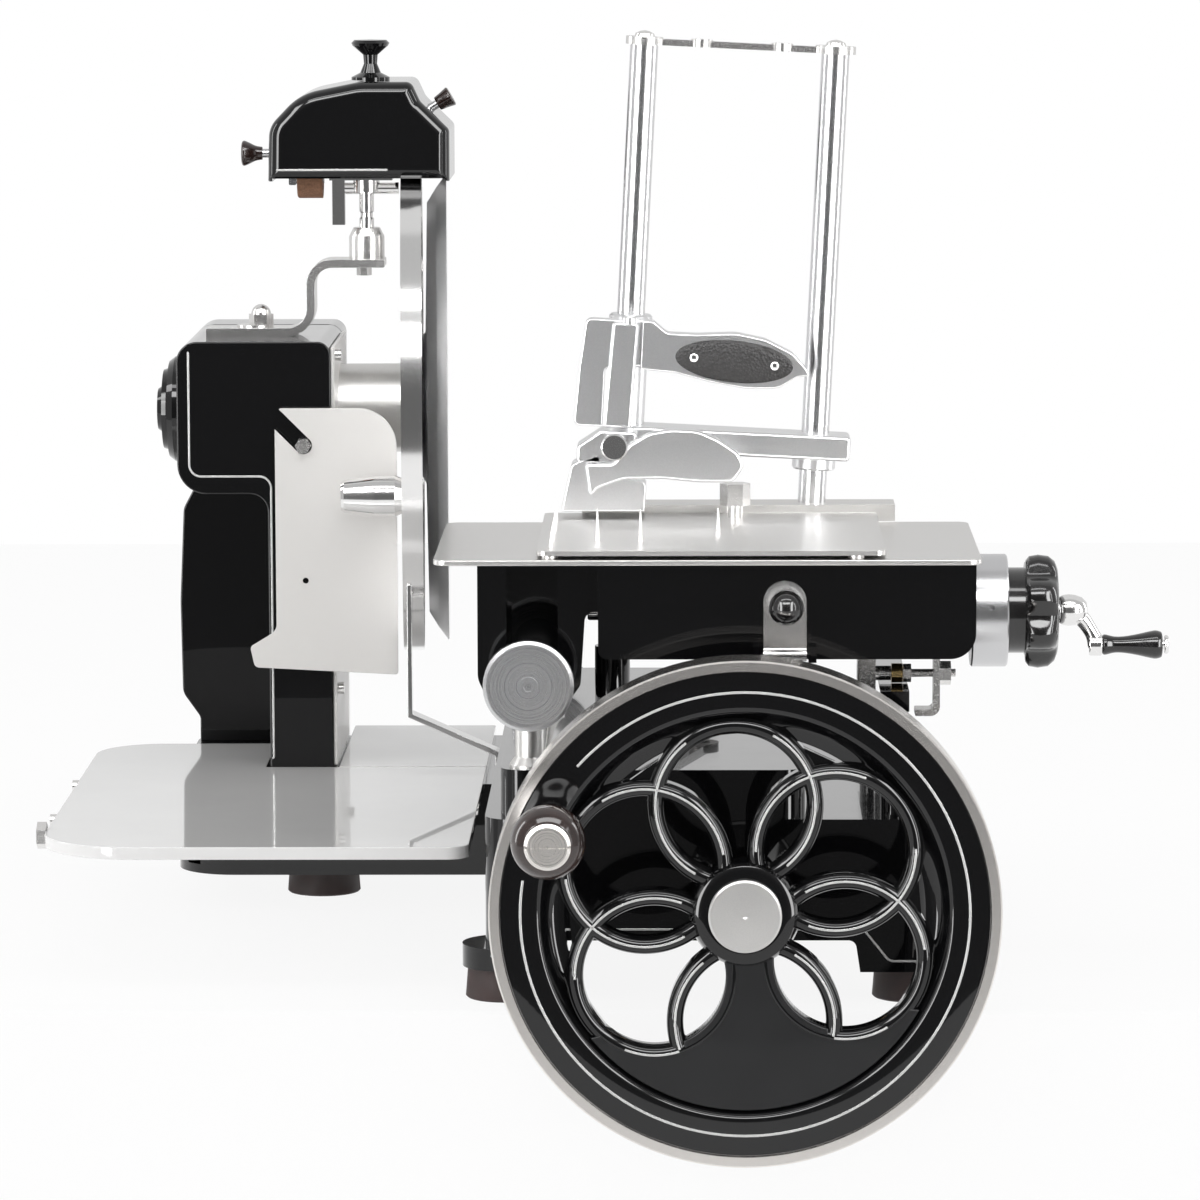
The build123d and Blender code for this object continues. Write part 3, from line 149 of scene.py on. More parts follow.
class StudioSizes(bpy.types.PropertyGroup):
    lens: bpy.props.FloatProperty(
        name="Lens", description="Focal length on a 36 millimetre sensor", default=180, min=50, max=300)
    strip_power: bpy.props.FloatProperty(
        name="Strip lamps", description="Power of each tall strip lamp, in watts", default=10, min=0, max=400)
    top_power: bpy.props.FloatProperty(
        name="Top lamp", description="Power of the long lamp overhead, in watts", default=12, min=0, max=400)
    surround: bpy.props.FloatProperty(
        name="Surround", description="Light of the pale surround on the object", default=0.68, min=0, max=1)
    dim_spot: bpy.props.FloatProperty(
        name="Dim spot", description="What gloss that faces the camera reflects", default=0.14, min=0, max=1)
    panels: bpy.props.FloatProperty(
        name="Panels", description="Strength of the soft panels in the gloss", default=10, min=0, max=30)


SETTINGS = {"slicer_enamel": EnamelColours, "slicer_grips": GripColours, "slicer_wheel": WheelSizes,
            "slicer_castings": CastingSizes, "slicer_studio": StudioSizes}


# Shape helpers ---------------------------------------------------------------------------------

def polar(radius, angle):
    """A flat point at a radius and an angle in degrees."""
    return radius * math.cos(math.radians(angle)), radius * math.sin(math.radians(angle))


def turn(angle, axis):
    return Matrix.Rotation(math.radians(angle), 4, axis)


def shift(x, y, z):
    return Matrix.Translation((x, y, z))


def wheel_place():
    """The flywheel's place: Z towards the operator, X right and Y up."""
    return shift(*WHEEL_CENTRE) @ turn(90, "X")


def press_place():
    """The leaning columns' place: Z up the left column from the meat plate."""
    return shift(*PRESS_FOOT) @ turn(PRESS_LEAN, "Y")


def ring_centres(sizes):
    """The middles of the flower's six rings, seen from the front."""
    return [polar(sizes.ring_out, RING_START + 60 * place) for place in range(6)]


def along_x(x, y, z):
    """Lays a shape made about Z along +X."""
    return shift(x, y, z) @ turn(90, "Y")


def smooth_line(points, steps=6):
    """A soft curve through points, as a list of points of the same kind."""
    line = []
    last = len(points) - 1
    for place in range(last):
        before, start, end, after = (points[min(max(place + k, 0), last)] for k in (-1, 0, 1, 2))
        for step in range(steps):
            t = step / steps
            line.append(tuple(
                0.5 * (2 * b + (c - a) * t + (2 * a - 5 * b + 4 * c - d) * t * t
                       + (3 * b - a - 3 * c + d) * t * t * t)
                for a, b, c, d in zip(before, start, end, after)))
    return line + [tuple(points[-1])]


def rounded_outline(points, radii, step=9):
    """A flat outline whose corners are rounded by one radius or one for each."""
    if not hasattr(radii, "__len__"):
        radii = [radii] * len(points)
    line = []
    for place, radius in enumerate(radii):
        corner = Vector(points[place])
        back = (Vector(points[place - 1]) - corner)
        ahead = (Vector(points[(place + 1) % len(points)]) - corner)
        half = back.angle(ahead) / 2
        reach = min(radius / math.tan(half), 0.49 * back.length, 0.49 * ahead.length)
        radius = reach * math.tan(half)
        middle = corner + (back.normalized() + ahead.normalized()).normalized() * radius / math.sin(half)
        start = corner + back.normalized() * reach - middle
        end = corner + ahead.normalized() * reach - middle
        sweep = start.angle_signed(end)
        count = max(1, round(abs(math.degrees(sweep)) / step))
        for turn_step in range(count + 1):
            spin = Matrix.Rotation(-sweep * turn_step / count, 2)
            line.append(tuple(middle + spin @ start))
    return line


def turned(profile, steps=96):
    """Vertices and faces of a closed (radius, height) profile turned about Z."""
    verts, faces, rings = [], [], []
    for radius, height in profile:
        if radius < 1e-6:
            rings.append([len(verts)] * steps)
            verts.append((0, 0, height))
        else:
            rings.append(list(range(len(verts), len(verts) + steps)))
            verts += [(*polar(radius, 360 * k / steps), height) for k in range(steps)]
    for place, ring in enumerate(rings):
        after = rings[(place + 1) % len(rings)]
        for k in range(steps):
            corners = [ring[k], ring[(k + 1) % steps], after[(k + 1) % steps], after[k]]
            corners = list(dict.fromkeys(corners))
            if len(corners) > 2:
                faces.append(corners)
    return verts, faces


def prism(outline, low, high):
    """Vertices and faces of a flat outline between two heights."""
    count = len(outline)
    verts = [(x, y, low) for x, y in outline] + [(x, y, high) for x, y in outline]
    faces = [list(range(count))[::-1], list(range(count, 2 * count))]
    faces += [[k, (k + 1) % count, count + (k + 1) % count, count + k] for k in range(count)]
    return verts, faces


def upright(outline, depths):
    """Vertices and faces of an (x, z) outline between two depths."""
    verts, faces = prism(outline, *depths)
    return [(x, y, z) for x, z, y in verts], faces


def strips(rows, count, closed=False):
    """Four-sided faces between rows of vertices, each row a ring of the same count."""
    faces = []
    for row in range(rows if closed else rows - 1):
        a, b = row * count, (row + 1) % rows * count
        faces += [[a + k, a + (k + 1) % count, b + (k + 1) % count, b + k] for k in range(count)]
    return faces


def swept(line, section, closed=False):
    """A section of (across, out) offsets carried along a line of (point, across, out) frames."""
    verts = [tuple(point + across * u + out * v) for point, across, out in line for u, v in section]
    count, rows = len(section), len(line)
    faces = strips(rows, count, closed)
    if not closed:
        faces += [list(range(count))[::-1], list(range((rows - 1) * count, rows * count))]
    return verts, faces


def arc_line(centre, radius, start, end, height=0.0, step=3):
    """Frames along a flat arc, for swept."""
    count = max(2, round(abs(end - start) / step))
    line = []
    for k in range(count + 1):
        out = Vector((*polar(1, start + (end - start) * k / count), 0))
        line.append((Vector((*centre, height)) + out * radius, out, Vector((0, 0, 1))))
    return line


def path_line(points, out):
    """Frames along a path of points that lies on a flat face with a given outward direction."""
    points = [Vector(p) for p in points]
    out = Vector(out)
    line = []
    for k, point in enumerate(points):
        ahead = (points[min(k + 1, len(points) - 1)] - points[max(k - 1, 0)]).normalized()
        line.append((point, ahead.cross(out).normalized(), out))
    return line


def round_section(radius, sides=12):
    return [polar(radius, 360 * k / sides) for k in range(sides)]


def line_section(width, rise):
    """A low crowned line of paint."""
    half = width / 2
    return [(-half, -0.3), (half, -0.3), (half, 0), (half * 0.5, rise), (-half * 0.5, rise), (-half, 0)]


# Pieces ----------------------------------------------------------------------------------------

def joined(*shapes):
    """Several (vertices, faces, place) shapes as one."""
    verts, faces = [], []
    for shape in shapes:
        part_verts, part_faces = shape[:2]
        place = shape[2] if len(shape) > 2 else Matrix()
        offset = len(verts)
        verts += [tuple(place @ Vector(v)) for v in part_verts]
        faces += [[offset + k for k in face] for face in part_faces]
    return verts, faces


def linked(name, data):
    """A new object of the scene that holds a mesh, a lamp or a camera."""
    obj = bpy.data.objects.new(name, data)
    bpy.context.scene.collection.objects.link(obj)
    return obj


def round_edges(shape, edge, segments, limit):
    """Rounds the edges that turn by more than a limit in degrees."""
    limit = math.radians(limit)
    picked = [e for e in shape.edges if len(e.link_faces) == 2 and e.calc_face_angle(0) > limit]
    bmesh.ops.bevel(shape, geom=picked, offset=edge / 1000, segments=segments, profile=0.5,
                    affect="EDGES", clamp_overlap=True)


def write_back(shape, mesh, sharp):
    """Ends the work on a mesh and shades it smooth but for its sharp edges."""
    shape.to_mesh(mesh)
    shape.free()
    mesh.shade_smooth()
    mesh.set_sharp_from_angle(angle=math.radians(sharp))


def finish_mesh(mesh, edge, segments, sharp):
    """Rounds the sharp edges, points the faces outwards and shades the rest smooth."""
    shape = bmesh.new()
    shape.from_mesh(mesh)
    bmesh.ops.recalc_face_normals(shape, faces=shape.faces)
    if edge:
        round_edges(shape, edge, segments, PIECE_CORNER)
    write_back(shape, mesh, sharp)


def even_shading(obj):
    """Keeps flat faces flat beside their rounded edges."""
    normals = obj.modifiers.new("even_shading", "WEIGHTED_NORMAL")
    normals.weight = 80
    normals.keep_sharp = True
    return obj


def raw_mesh(name, shape, place=None):
    """A mesh in metres from vertices and faces in millimetres."""
    place = place or Matrix()
    mesh = bpy.data.meshes.new(name)
    verts, faces = shape
    mesh.from_pydata([(place @ Vector(v)) / 1000 for v in verts], [], faces)
    return mesh


def piece(name, shape, body, slot, place=None, edge=0.0, segments=4, sharp=35, material=None):
    """Makes one visible piece from vertices and faces in millimetres and hangs it on its body."""
    mesh = raw_mesh(name, shape, place)
    finish_mesh(mesh, edge, segments, sharp)
    obj = linked(name, mesh)
    mesh.materials.append(material or finish_for(slot))
    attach(obj, body)
    return even_shading(obj)


def softened(node, edge, segments=3, sharp=35):
    """A copy of a frame part with rounded edges, shown in its place."""
    source = frame["nodes"][node]
    mesh = source.data.copy()
    mesh.name = node + "_cast"
    shape = bmesh.new()
    shape.from_mesh(mesh)
    bmesh.ops.remove_doubles(shape, verts=shape.verts, dist=SAME_POINT)
    bmesh.ops.dissolve_limit(shape, angle_limit=math.radians(FLAT_ENOUGH), verts=shape.verts,
                             edges=shape.edges)
    round_edges(shape, edge, segments, CAST_CORNER)
    write_back(shape, mesh, sharp)
    obj = linked(node + "_cast", mesh)
    mesh.materials.clear()
    mesh.materials.append(source.data.materials[0])
    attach(obj, body_of[node])
    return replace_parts(even_shading(obj), node)


# Finishes --------------------------------------------------------------------------------------

def add_node(tree, kind, **inputs):
    """Adds a node; n0 names a socket by its number and an underscore stands for a space."""
    made = tree.nodes.new(kind)
    for socket, value in inputs.items():
        socket = int(socket[1:]) if socket[1:].isdigit() else socket.replace("_", " ")
        if hasattr(value, "is_output"):
            tree.links.new(value, made.inputs[socket])
        else:
            made.inputs[socket].default_value = value
    return made


class Finish:
    """A node material under construction: one shader and the textures that drive it."""

    def __init__(self, name):
        self.material = bpy.data.materials.new(name)
        self.material.use_nodes = True
        self.tree = self.material.node_tree
        self.shader = self.tree.nodes["Principled BSDF"]
        self.place = self.tree.nodes.new("ShaderNodeTexCoord").outputs["Object"]

    def set(self, **values):
        for socket, value in values.items():
            self.shader.inputs[socket.replace("_", " ")].default_value = value
        return self

    def node(self, kind, **inputs):
        return add_node(self.tree, kind, **inputs)

    def link(self, source, socket):
        self.tree.links.new(source, self.shader.inputs[socket])
        return self

    def stretched(self, x, y, z):
        """The object's own coordinates, stretched for a grain."""
        return self.node("ShaderNodeMapping", Vector=self.place, Scale=(x, y, z)).outputs["Vector"]

    def noise(self, where, scale, detail=3.0, rough=0.55):
        return self.node("ShaderNodeTexNoise", Vector=where, Scale=scale, Detail=detail,
                         Roughness=rough).outputs["Fac"]

    def ramp(self, source, low, high, start=0.3, end=0.7):
        """A number or a colour that runs between two values along a pattern."""
        if hasattr(low, "__len__"):
            made = self.tree.nodes.new("ShaderNodeValToRGB")
            self.tree.links.new(source, made.inputs["Fac"])
            for stop, place, colour in zip(made.color_ramp.elements, (start, end), (low, high)):
                stop.position = place
                stop.color = (*colour[:3], 1)
            return made.outputs["Color"]
        return self.node("ShaderNodeMapRange", Value=source, From_Min=start, From_Max=end, To_Min=low,
                         To_Max=high).outputs["Result"]

    def bump(self, height, strength, distance):
        made = self.node("ShaderNodeBump", Height=height, Strength=strength, Distance=distance)
        return self.link(made.outputs["Normal"], "Normal")


def lighter(colour, share):
    return tuple(min(1.0, c * share) for c in colour)


def enamel(name, colour, low, high, coat=1.0):
    """Stove enamel: an even colour, a thin clear gloss and the faintest waviness."""
    made = Finish(name)
    made.set(Coat_Weight=coat, Coat_Roughness=0.02, Specular_IOR_Level=0.5 - 0.45 * coat)
    cloud = made.noise(made.place, 14)
    made.link(made.ramp(cloud, lighter(colour, 0.985), lighter(colour, 1.01)), "Base Color")
    made.link(made.ramp(made.noise(made.place, 45), low, high), "Roughness")
    return made.bump(made.noise(made.place, 160, 2), 0.05, 0.0002).material


def polished(name, colour, low, high, grain=(1, 1, 1)):
    """Polished or drawn metal, its grain stretched along the part."""
    made = Finish(name)
    made.set(Metallic=1.0)
    drawn = made.noise(made.stretched(*grain), 1500, 2)
    made.link(made.ramp(drawn, lighter(colour, 0.97), lighter(colour, 1.03)), "Base Color")
    middle = (low + high) / 2
    made.link(made.ramp(drawn, middle - (high - low) / 4, middle + (high - low) / 4), "Roughness")
    return made.bump(drawn, 0.03, 0.000005).material


def bakelite(name, colour, low=0.1, high=0.2):
    """Polished bakelite with the soft mottling of the moulding."""
    made = Finish(name)
    made.set(Coat_Weight=0.6, Coat_Roughness=0.06)
    cloud = made.noise(made.place, 60, 5, 0.65)
    made.link(made.ramp(cloud, lighter(colour, 0.7), lighter(colour, 1.7)), "Base Color")
    made.link(made.ramp(made.noise(made.place, 120), low, high), "Roughness")
    return made.bump(made.noise(made.place, 400, 2), 0.05, 0.0001).material


def rough_rubber(name, colour):
    """Dull moulded rubber with a fine tooth and rubbed patches."""
    made = Finish(name)
    cloud = made.noise(made.place, 70, 4)
    made.link(made.ramp(cloud, colour, lighter(colour, 1.9)), "Base Color")
    made.link(made.ramp(cloud, 0.5, 0.75), "Roughness")
    return made.bump(made.noise(made.place, 900, 3), 0.25, 0.0003).material


def lathe_marks(name, colour, low, high, centre, axis, pitch=2.2):
    """Metal faced on a lathe: fine rings about an axis."""
    made = Finish(name)
    made.set(Metallic=1.0)
    moved = made.node("ShaderNodeMapping", Vector=made.place, Location=[-c / 1000 for c in centre])
    across = [0 if a == axis else 1 for a in "XYZ"]
    flat = made.node("ShaderNodeVectorMath", n0=moved.outputs["Vector"], n1=across)
    flat.operation = "MULTIPLY"
    reach = made.node("ShaderNodeVectorMath", n0=flat.outputs["Vector"])
    reach.operation = "LENGTH"
    rings = made.noise(reach.outputs["Value"], 1000 * pitch, 2)
    made.link(made.ramp(rings, lighter(colour, 0.88), lighter(colour, 1.08)), "Base Color")
    made.link(made.ramp(rings, low, high), "Roughness")
    return made.bump(rings, 0.12, 0.0001).material


def pebbled(name, colour):
    """Black grip with a pebbled surface."""
    made = Finish(name)
    cells = made.node("ShaderNodeTexVoronoi", Vector=made.place, Scale=620.0)
    made.link(made.ramp(cells.outputs["Distance"], lighter(colour, 1.8), colour, 0.1, 0.6), "Base Color")
    made.set(Roughness=0.42)
    return made.bump(cells.outputs["Distance"], 0.7, 0.0006).material


def grit(name, colour):
    """Bonded grinding stone."""
    made = Finish(name)
    cells = made.noise(made.place, 900, 6, 0.8)
    made.link(made.ramp(cells, lighter(colour, 0.55), lighter(colour, 1.4)), "Base Color")
    made.set(Roughness=0.9)
    return made.bump(cells, 0.6, 0.0006).material


def stripe_paint(name, colour):
    """Silver lining paint."""
    made = Finish(name)
    made.set(Metallic=0.35, Coat_Weight=0.5, Coat_Roughness=0.08)
    flakes = made.noise(made.place, 1500, 2)
    made.link(made.ramp(flakes, lighter(colour, 0.9), lighter(colour, 1.1)), "Base Color")
    return made.link(made.ramp(flakes, 0.3, 0.45), "Roughness").material


def make_finish(slot):
    """The finish of one of the record's material slots."""
    scene = bpy.context.scene
    paint, grips = scene.slicer_enamel, scene.slicer_grips
    makers = {
        "black_enamel": lambda n: enamel(n, paint.black, 0.10, 0.16),
        "white_enamel": lambda n: enamel(n, paint.white, 0.07, 0.12),
        "cream_enamel": lambda n: enamel(n, paint.cream, 0.32, 0.42, 0.15),
        "polished_chrome": lambda n: polished(n, (0.84, 0.835, 0.83), 0.08, 0.15),
        "satin_nickel": lambda n: polished(n, (0.70, 0.69, 0.675), 0.28, 0.38),
        "turned_steel": lambda n: polished(n, (0.60, 0.60, 0.61), 0.18, 0.28, (0.08, 1, 1)),
        "blade_steel": lambda n: polished(n, (0.82, 0.82, 0.825), 0.36, 0.46),
        "gear_iron": lambda n: polished(n, (0.20, 0.19, 0.185), 0.35, 0.5),
        "bearing_bronze": lambda n: polished(n, (0.55, 0.36, 0.17), 0.25, 0.4),
        "roller_brass": lambda n: polished(n, (0.72, 0.53, 0.24), 0.18, 0.3),
        "brown_bakelite": lambda n: bakelite(n, grips.brown),
        "black_bakelite": lambda n: bakelite(n, grips.black),
        "foot_rubber": lambda n: rough_rubber(n, (0.028, 0.018, 0.017)),
        "belt_rubber": lambda n: rough_rubber(n, (0.02, 0.02, 0.02)),
        "grinding_stone": lambda n: grit(n, (0.23, 0.12, 0.07)),
    }
    if slot not in makers:
        raise RuntimeError("no finish is written for the slot " + slot)
    return makers[slot]("dressed_" + slot)


def finish_for(slot):
    """A slot's finish, made once; the frame's own plain materials carry the bare slot names."""
    return bpy.data.materials.get("dressed_" + slot) or make_finish(slot)


def check_finishes():
    """Raises an error at a visible piece's material without a texture or coordinate node."""
    for obj in bpy.context.scene.objects:
        if obj.type == "MESH" and not obj.hide_render:
            for material in obj.data.materials:
                if not material or not any(n.type.startswith("TEX_") for n in material.node_tree.nodes):
                    raise RuntimeError(obj.name + " has no procedural finish")


# Operators -------------------------------------------------------------------------------------

class SlicerPiece:
    """What the operators share: they change the scene and can be undone."""

    bl_options = {"REGISTER", "UNDO"}

    def execute(self, context):
        self.build(context.scene)
        return {"FINISHED"}


class SLICER_OT_finishes(SlicerPiece, bpy.types.Operator):
    """Gives every part of the frame the finish of its material slot"""

    bl_idname = "slicer.finishes"
    bl_label = "Finishes"

    def build(self, scene):
        for name, node in frame["nodes"].items():
            node.data.materials.clear()
            node.data.materials.append(finish_for(slot_of[name]))
            node.data.shade_smooth()
            node.data.set_sharp_from_angle(angle=math.radians(30))
        faced = lathe_marks("faced_steel", (0.62, 0.62, 0.63), 0.22, 0.34, (-110.4, 0, 203), "Y")
        frame["nodes"]["guide_bar_caps"].data.materials[0] = faced
        collar = lathe_marks("collar_steel", (0.66, 0.66, 0.67), 0.2, 0.3, FEED_AXIS, "X")
        frame["nodes"]["index_collar"].data.materials[0] = collar
        end = lathe_marks("spindle_end", (0.74, 0.71, 0.68), 0.24, 0.34, self.grip_end(), "Y", 3)
        frame["nodes"]["crank_spindle"].data.materials[0] = end
        shared = {
            ("flywheel_rim",): polished("rim_nickel", (0.82, 0.79, 0.76), 0.2, 0.28),
            ("press_columns",): polished("drawn_columns", (0.80, 0.80, 0.81), 0.16, 0.24, (1, 1, 0.05)),
            ("blade_guard", "guard_knob", "guard_strap"): finish_for("polished_chrome"),
            ("sharpener_bracket", "column_bridge", "frame_screws", "release_lever", "plate_fittings",
             "roller_bracket"): polished("drawn_nickel", (0.80, 0.79, 0.78), 0.22, 0.3)}
        for nodes, finish in shared.items():
            for node in nodes:
                frame["nodes"][node].data.materials[0] = finish

    @staticmethod
    def grip_end():
        x, z = polar(CRANK_REACH, CRANK_ANGLE)
        return (WHEEL_CENTRE[0] + x, 0, WHEEL_CENTRE[2] + z)


class SLICER_OT_castings(SlicerPiece, bpy.types.Operator):
    """Rounds the edges of the castings and plates"""

    bl_idname = "slicer.castings"
    bl_label = "Castings and plates"

    def build(self, scene):
        sizes = scene.slicer_castings
        for node in ("base_casting", "base_pan", "carriage_casting"):
            softened(node, sizes.edge)
        for node in ("slice_tray", "carriage_table", "meat_plate", "deflector_plate",
                     "column_side_plate", "sharpener_bracket", "guard_strap", "release_lever"):
            softened(node, sizes.plate_edge, 2)


class SLICER_OT_drive_column(SlicerPiece, bpy.types.Operator):
    """Makes the enamelled drive column with its wider casing and its pinstripe"""

    bl_idname = "slicer.drive_column"
    bl_label = "Drive column"

    def build(self, scene):
        edge = scene.slicer_castings.column_edge
        front = rounded_outline([(-296.5, 86), (-253.5, 86), (-253.5, 383), (-357.5, 383), (-357.5, 280),
                                 (-296.5, 280)], [1, 1, 9, 14, 20, 12])
        case = rounded_outline([(-355.5, 86), (-253.5, 86), (-253.5, 383), (-357.5, 383), (-357.5, 270),
                                (-365.5, 255), (-368.5, 190), (-367.5, 125), (-355.5, 108)],
                               [1, 1, 9, 14, 12, 12, 60, 12, 6])
        column = piece("column_front", upright(front, (325, 470)), "root", "black_enamel", edge=edge)
        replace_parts(column, "drive_column")
        piece("column_casing", upright(case, (463, 515)), "root", "black_enamel", edge=edge)
        corner = rounded_outline([(-349.3, 376), (-349.3, 292), (-294.2, 292), (-294.2, 100), (-500, 100),
                                  (-500, 376)], [1, 8, 8, 1, 1, 1])
        path = [(x, 324.9, z) for x, z in corner if x > -350 and 100 <= z]
        stripe = swept(path_line(path, (0, -1, 0)), line_section(1.3, 0.15))
        piece("column_stripe", stripe, "root", "satin_nickel", material=finish_paint())


def finish_paint():
    """The lining paint of every pinstripe."""
    made = bpy.data.materials.get("lining_paint")
    return made or stripe_paint("lining_paint", bpy.context.scene.slicer_enamel.stripe)


class SLICER_OT_flywheel(SlicerPiece, bpy.types.Operator):
    """Makes the flywheel: the dished annulus, the flower of rounded rings and the bare face below"""

    bl_idname = "slicer.flywheel"
    bl_label = "Flywheel"

    def build(self, scene):
        sizes = scene.slicer_wheel
        half = sizes.ring_band / 2
        centres = ring_centres(sizes)
        annulus = turned([(149.5, -28), (125, -28), (117, -20), (110, -20), (110, -12.5), (116, -12.2),
                          (119.5, -10.5), (122.3, -7), (124, -3.8), (125.4, -2.5), (127.5, -2.1),
                          (148.4, -2.1), (149.5, -2.8)], 144)
        hub = turned([(9.2, -44), (22, -44), (30, -20), (34, -14), (33, -9), (31.8, -5), (30.2, -2.2),
                      (27.5, -1.1), (23.5, -1.0), (9.2, -1.0)], 96)
        top = [(half * math.cos(math.radians(a)), -10 + 5.2 * math.sin(math.radians(a)))
               for a in range(0, 181, 20)]
        section = [(-half, -20), (half, -20)] + top
        shapes = [annulus, hub]
        for centre in centres[:5]:
            shapes.append(swept(arc_line(centre, sizes.ring_radius, 0, 357), section, True))
        reach = math.degrees(math.acos(sizes.ring_out / 2 / sizes.ring_radius))
        for other in (4, 0):
            aim = math.degrees(math.atan2(centres[other][1] - centres[5][1],
                                          centres[other][0] - centres[5][0]))
            shapes.append(swept(arc_line(centres[5], sizes.ring_radius, aim - reach, aim + reach),
                                section))
        wheel = piece("flywheel_body", joined(*shapes), "flywheel", "black_enamel", wheel_place())
        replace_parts(wheel, "flywheel")
        shapes = [prism(self.web(sizes, centres[place], centres[place + 1]), -19.5, -12.3)
                  for place in range(4)]
        piece("flywheel_web", joined(*shapes), "flywheel", "black_enamel", wheel_place())
        face = prism(self.face(sizes, centres, half), -20, -4.9)
        piece("flywheel_face", face, "flywheel", "black_enamel", wheel_place(), edge=2.2,
              material=enamel("face_enamel", lighter(scene.slicer_enamel.black, 1.3), 0.3, 0.36, 0.1))

    @staticmethod
    def web(sizes, one, two):
        """The closed corner between two rings, outside their crossing."""
        outside = 113.0

        def edge(centre, other):
            found = []
            for step in range(0, 720):
                x, y = polar(sizes.ring_radius, step / 2)
                x, y = x + centre[0], y + centre[1]
                reach = math.hypot(x, y)
                near = math.hypot(x - other[0], y - other[1])
                if 90 < reach < outside and near > sizes.ring_radius:
                    across = (x * other[0] + y * other[1])
                    if across > 0.55 * reach * sizes.ring_out:
                        found.append((reach, (x, y)))
            return [point for reach, point in sorted(found)][::4]

        return edge(one, two) + edge(two, one)[::-1]

    @staticmethod
    def face(sizes, centres, half):
        """The flat face that fills the lowest ring's place."""
        axis = -85.0

        def edge(centre, side):
            found = []
            for step in range(0, 720):
                x, y = polar(1, step / 2)
                for radius, low, high in ((sizes.ring_radius - half, 31, 88), (sizes.ring_radius, 91, 115)):
                    place = (centre[0] + x * radius, centre[1] + y * radius)
                    reach = math.hypot(*place)
                    angle = (math.degrees(math.atan2(place[1], place[0])) - axis + 180) % 360 - 180
                    if low < reach < high and 0 < angle * side < 58:
                        found.append((reach, place))
            return [place for reach, place in sorted(found)][::4]

        right, left = edge(centres[0], 1), edge(centres[4], -1)
        rim = [polar(121.5, axis + angle) for angle in range(56, -57, -4)]
        hub = [polar(30, axis + angle) for angle in range(-14, 15, 4)]
        return right + rim + left[::-1] + hub


class SLICER_OT_wheel_lines(SlicerPiece, bpy.types.Operator):
    """Draws the silver lines on the wheel's rings and face"""

    bl_idname = "slicer.wheel_lines"
    bl_label = "Wheel lines"

    def build(self, scene):
        sizes = scene.slicer_wheel
        centres = ring_centres(sizes)
        on_annulus, on_rings = -2.05, -4.78   # just clear of the annulus at -2.1 and the rings at -4.8
        line = line_section(sizes.stripe_width, 0.14)
        shapes = [swept(arc_line((0, 0), sizes.stripe_radius, 171, 498, on_annulus), line)]
        crest = line_section(sizes.stripe_width * 0.9, 0.14)
        for place, centre in enumerate(centres):
            for start, end in self.shown(sizes, centres, place):
                shapes.append(swept(arc_line(centre, sizes.ring_radius, start, end, on_rings), crest))
        piece("wheel_stripes", joined(*shapes), "flywheel", "satin_nickel", wheel_place(),
              material=finish_paint())

    @staticmethod
    def shown(sizes, centres, place):
        """The stretches of a ring that stand clear of the hub, the annulus and the flat face."""
        centre = centres[place]
        kept = []
        for step in range(0, 360, 2):
            x, y = polar(sizes.ring_radius, step)
            x, y = x + centre[0], y + centre[1]
            inside = [math.hypot(x - c[0], y - c[1]) < sizes.ring_radius for c in centres]
            clear = 38 < math.hypot(x, y) < 111.5
            if place in (0, 4):
                clear = clear and not inside[5]
            if place == 5:
                clear = clear and (inside[0] or inside[4])
            kept.append(clear)
        runs = []
        first = kept.index(False)
        start = None
        for count in range(first, first + 181):
            if kept[count % 180] and start is None:
                start = count
            if not kept[count % 180] and start is not None:
                if count - start > 3:
                    runs.append((2 * start, 2 * (count - 1)))
                start = None
        return runs


class SLICER_OT_crank_grip(SlicerPiece, bpy.types.Operator):
    """Turns the crank's swelling grip"""

    bl_idname = "slicer.crank_grip"
    bl_label = "Crank grip"

    def build(self, scene):
        outer = smooth_line([(12.4, 0.3), (13.8, 2.5), (13.3, 7), (13, 14), (13.8, 23), (16.4, 33),
                             (19.8, 43), (22, 51), (22.5, 57), (21.6, 63), (18.8, 68), (15.4, 71.2),
                             (14.3, 72)], 5)
        x, y = polar(CRANK_REACH, CRANK_ANGLE)
        grip = piece("turned_crank_grip", turned([(5.05, 0.3)] + outer + [(5.05, 72)], 72), "crank_grip",
                     "brown_bakelite", wheel_place() @ shift(x, y, 0), sharp=50)
        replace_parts(grip, "crank_grip")


class SLICER_OT_thickness_knob(SlicerPiece, bpy.types.Operator):
    """Makes the lobed thickness knob"""

    bl_idname = "slicer.thickness_knob"
    bl_label = "Thickness knob"

    def build(self, scene):
        start, steps = 188.2, 168
        rows = [(start, 27, 0), (start + 10.5, 27, 0), (start + 11, 29, 0), (start + 11.4, 31.5, 1.4),
                (start + 13.5, 33.5, 2.6), (start + 19, 34.2, 3), (start + 25.5, 33.6, 2.6),
                (start + 29.5, 31, 1.6), (start + 31.4, 27, 0.6), (start + 31.8, 20, 0),
                (start + 31.8, 11.05, 0), (start, 11.05, 0)]
        verts = []
        for x, radius, lobe in rows:
            for k in range(steps):
                angle = 360 * k / steps
                wave = math.cos(math.radians(7 * angle))
                y, z = polar(radius + lobe * (wave - 0.25 * wave * wave), angle)
                verts.append((x, y, z))
        knob = piece("lobed_knob", (verts, strips(len(rows), steps, True)), "thickness_knob",
                     "black_bakelite", shift(*FEED_AXIS), sharp=40)
        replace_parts(knob, "thickness_knob")


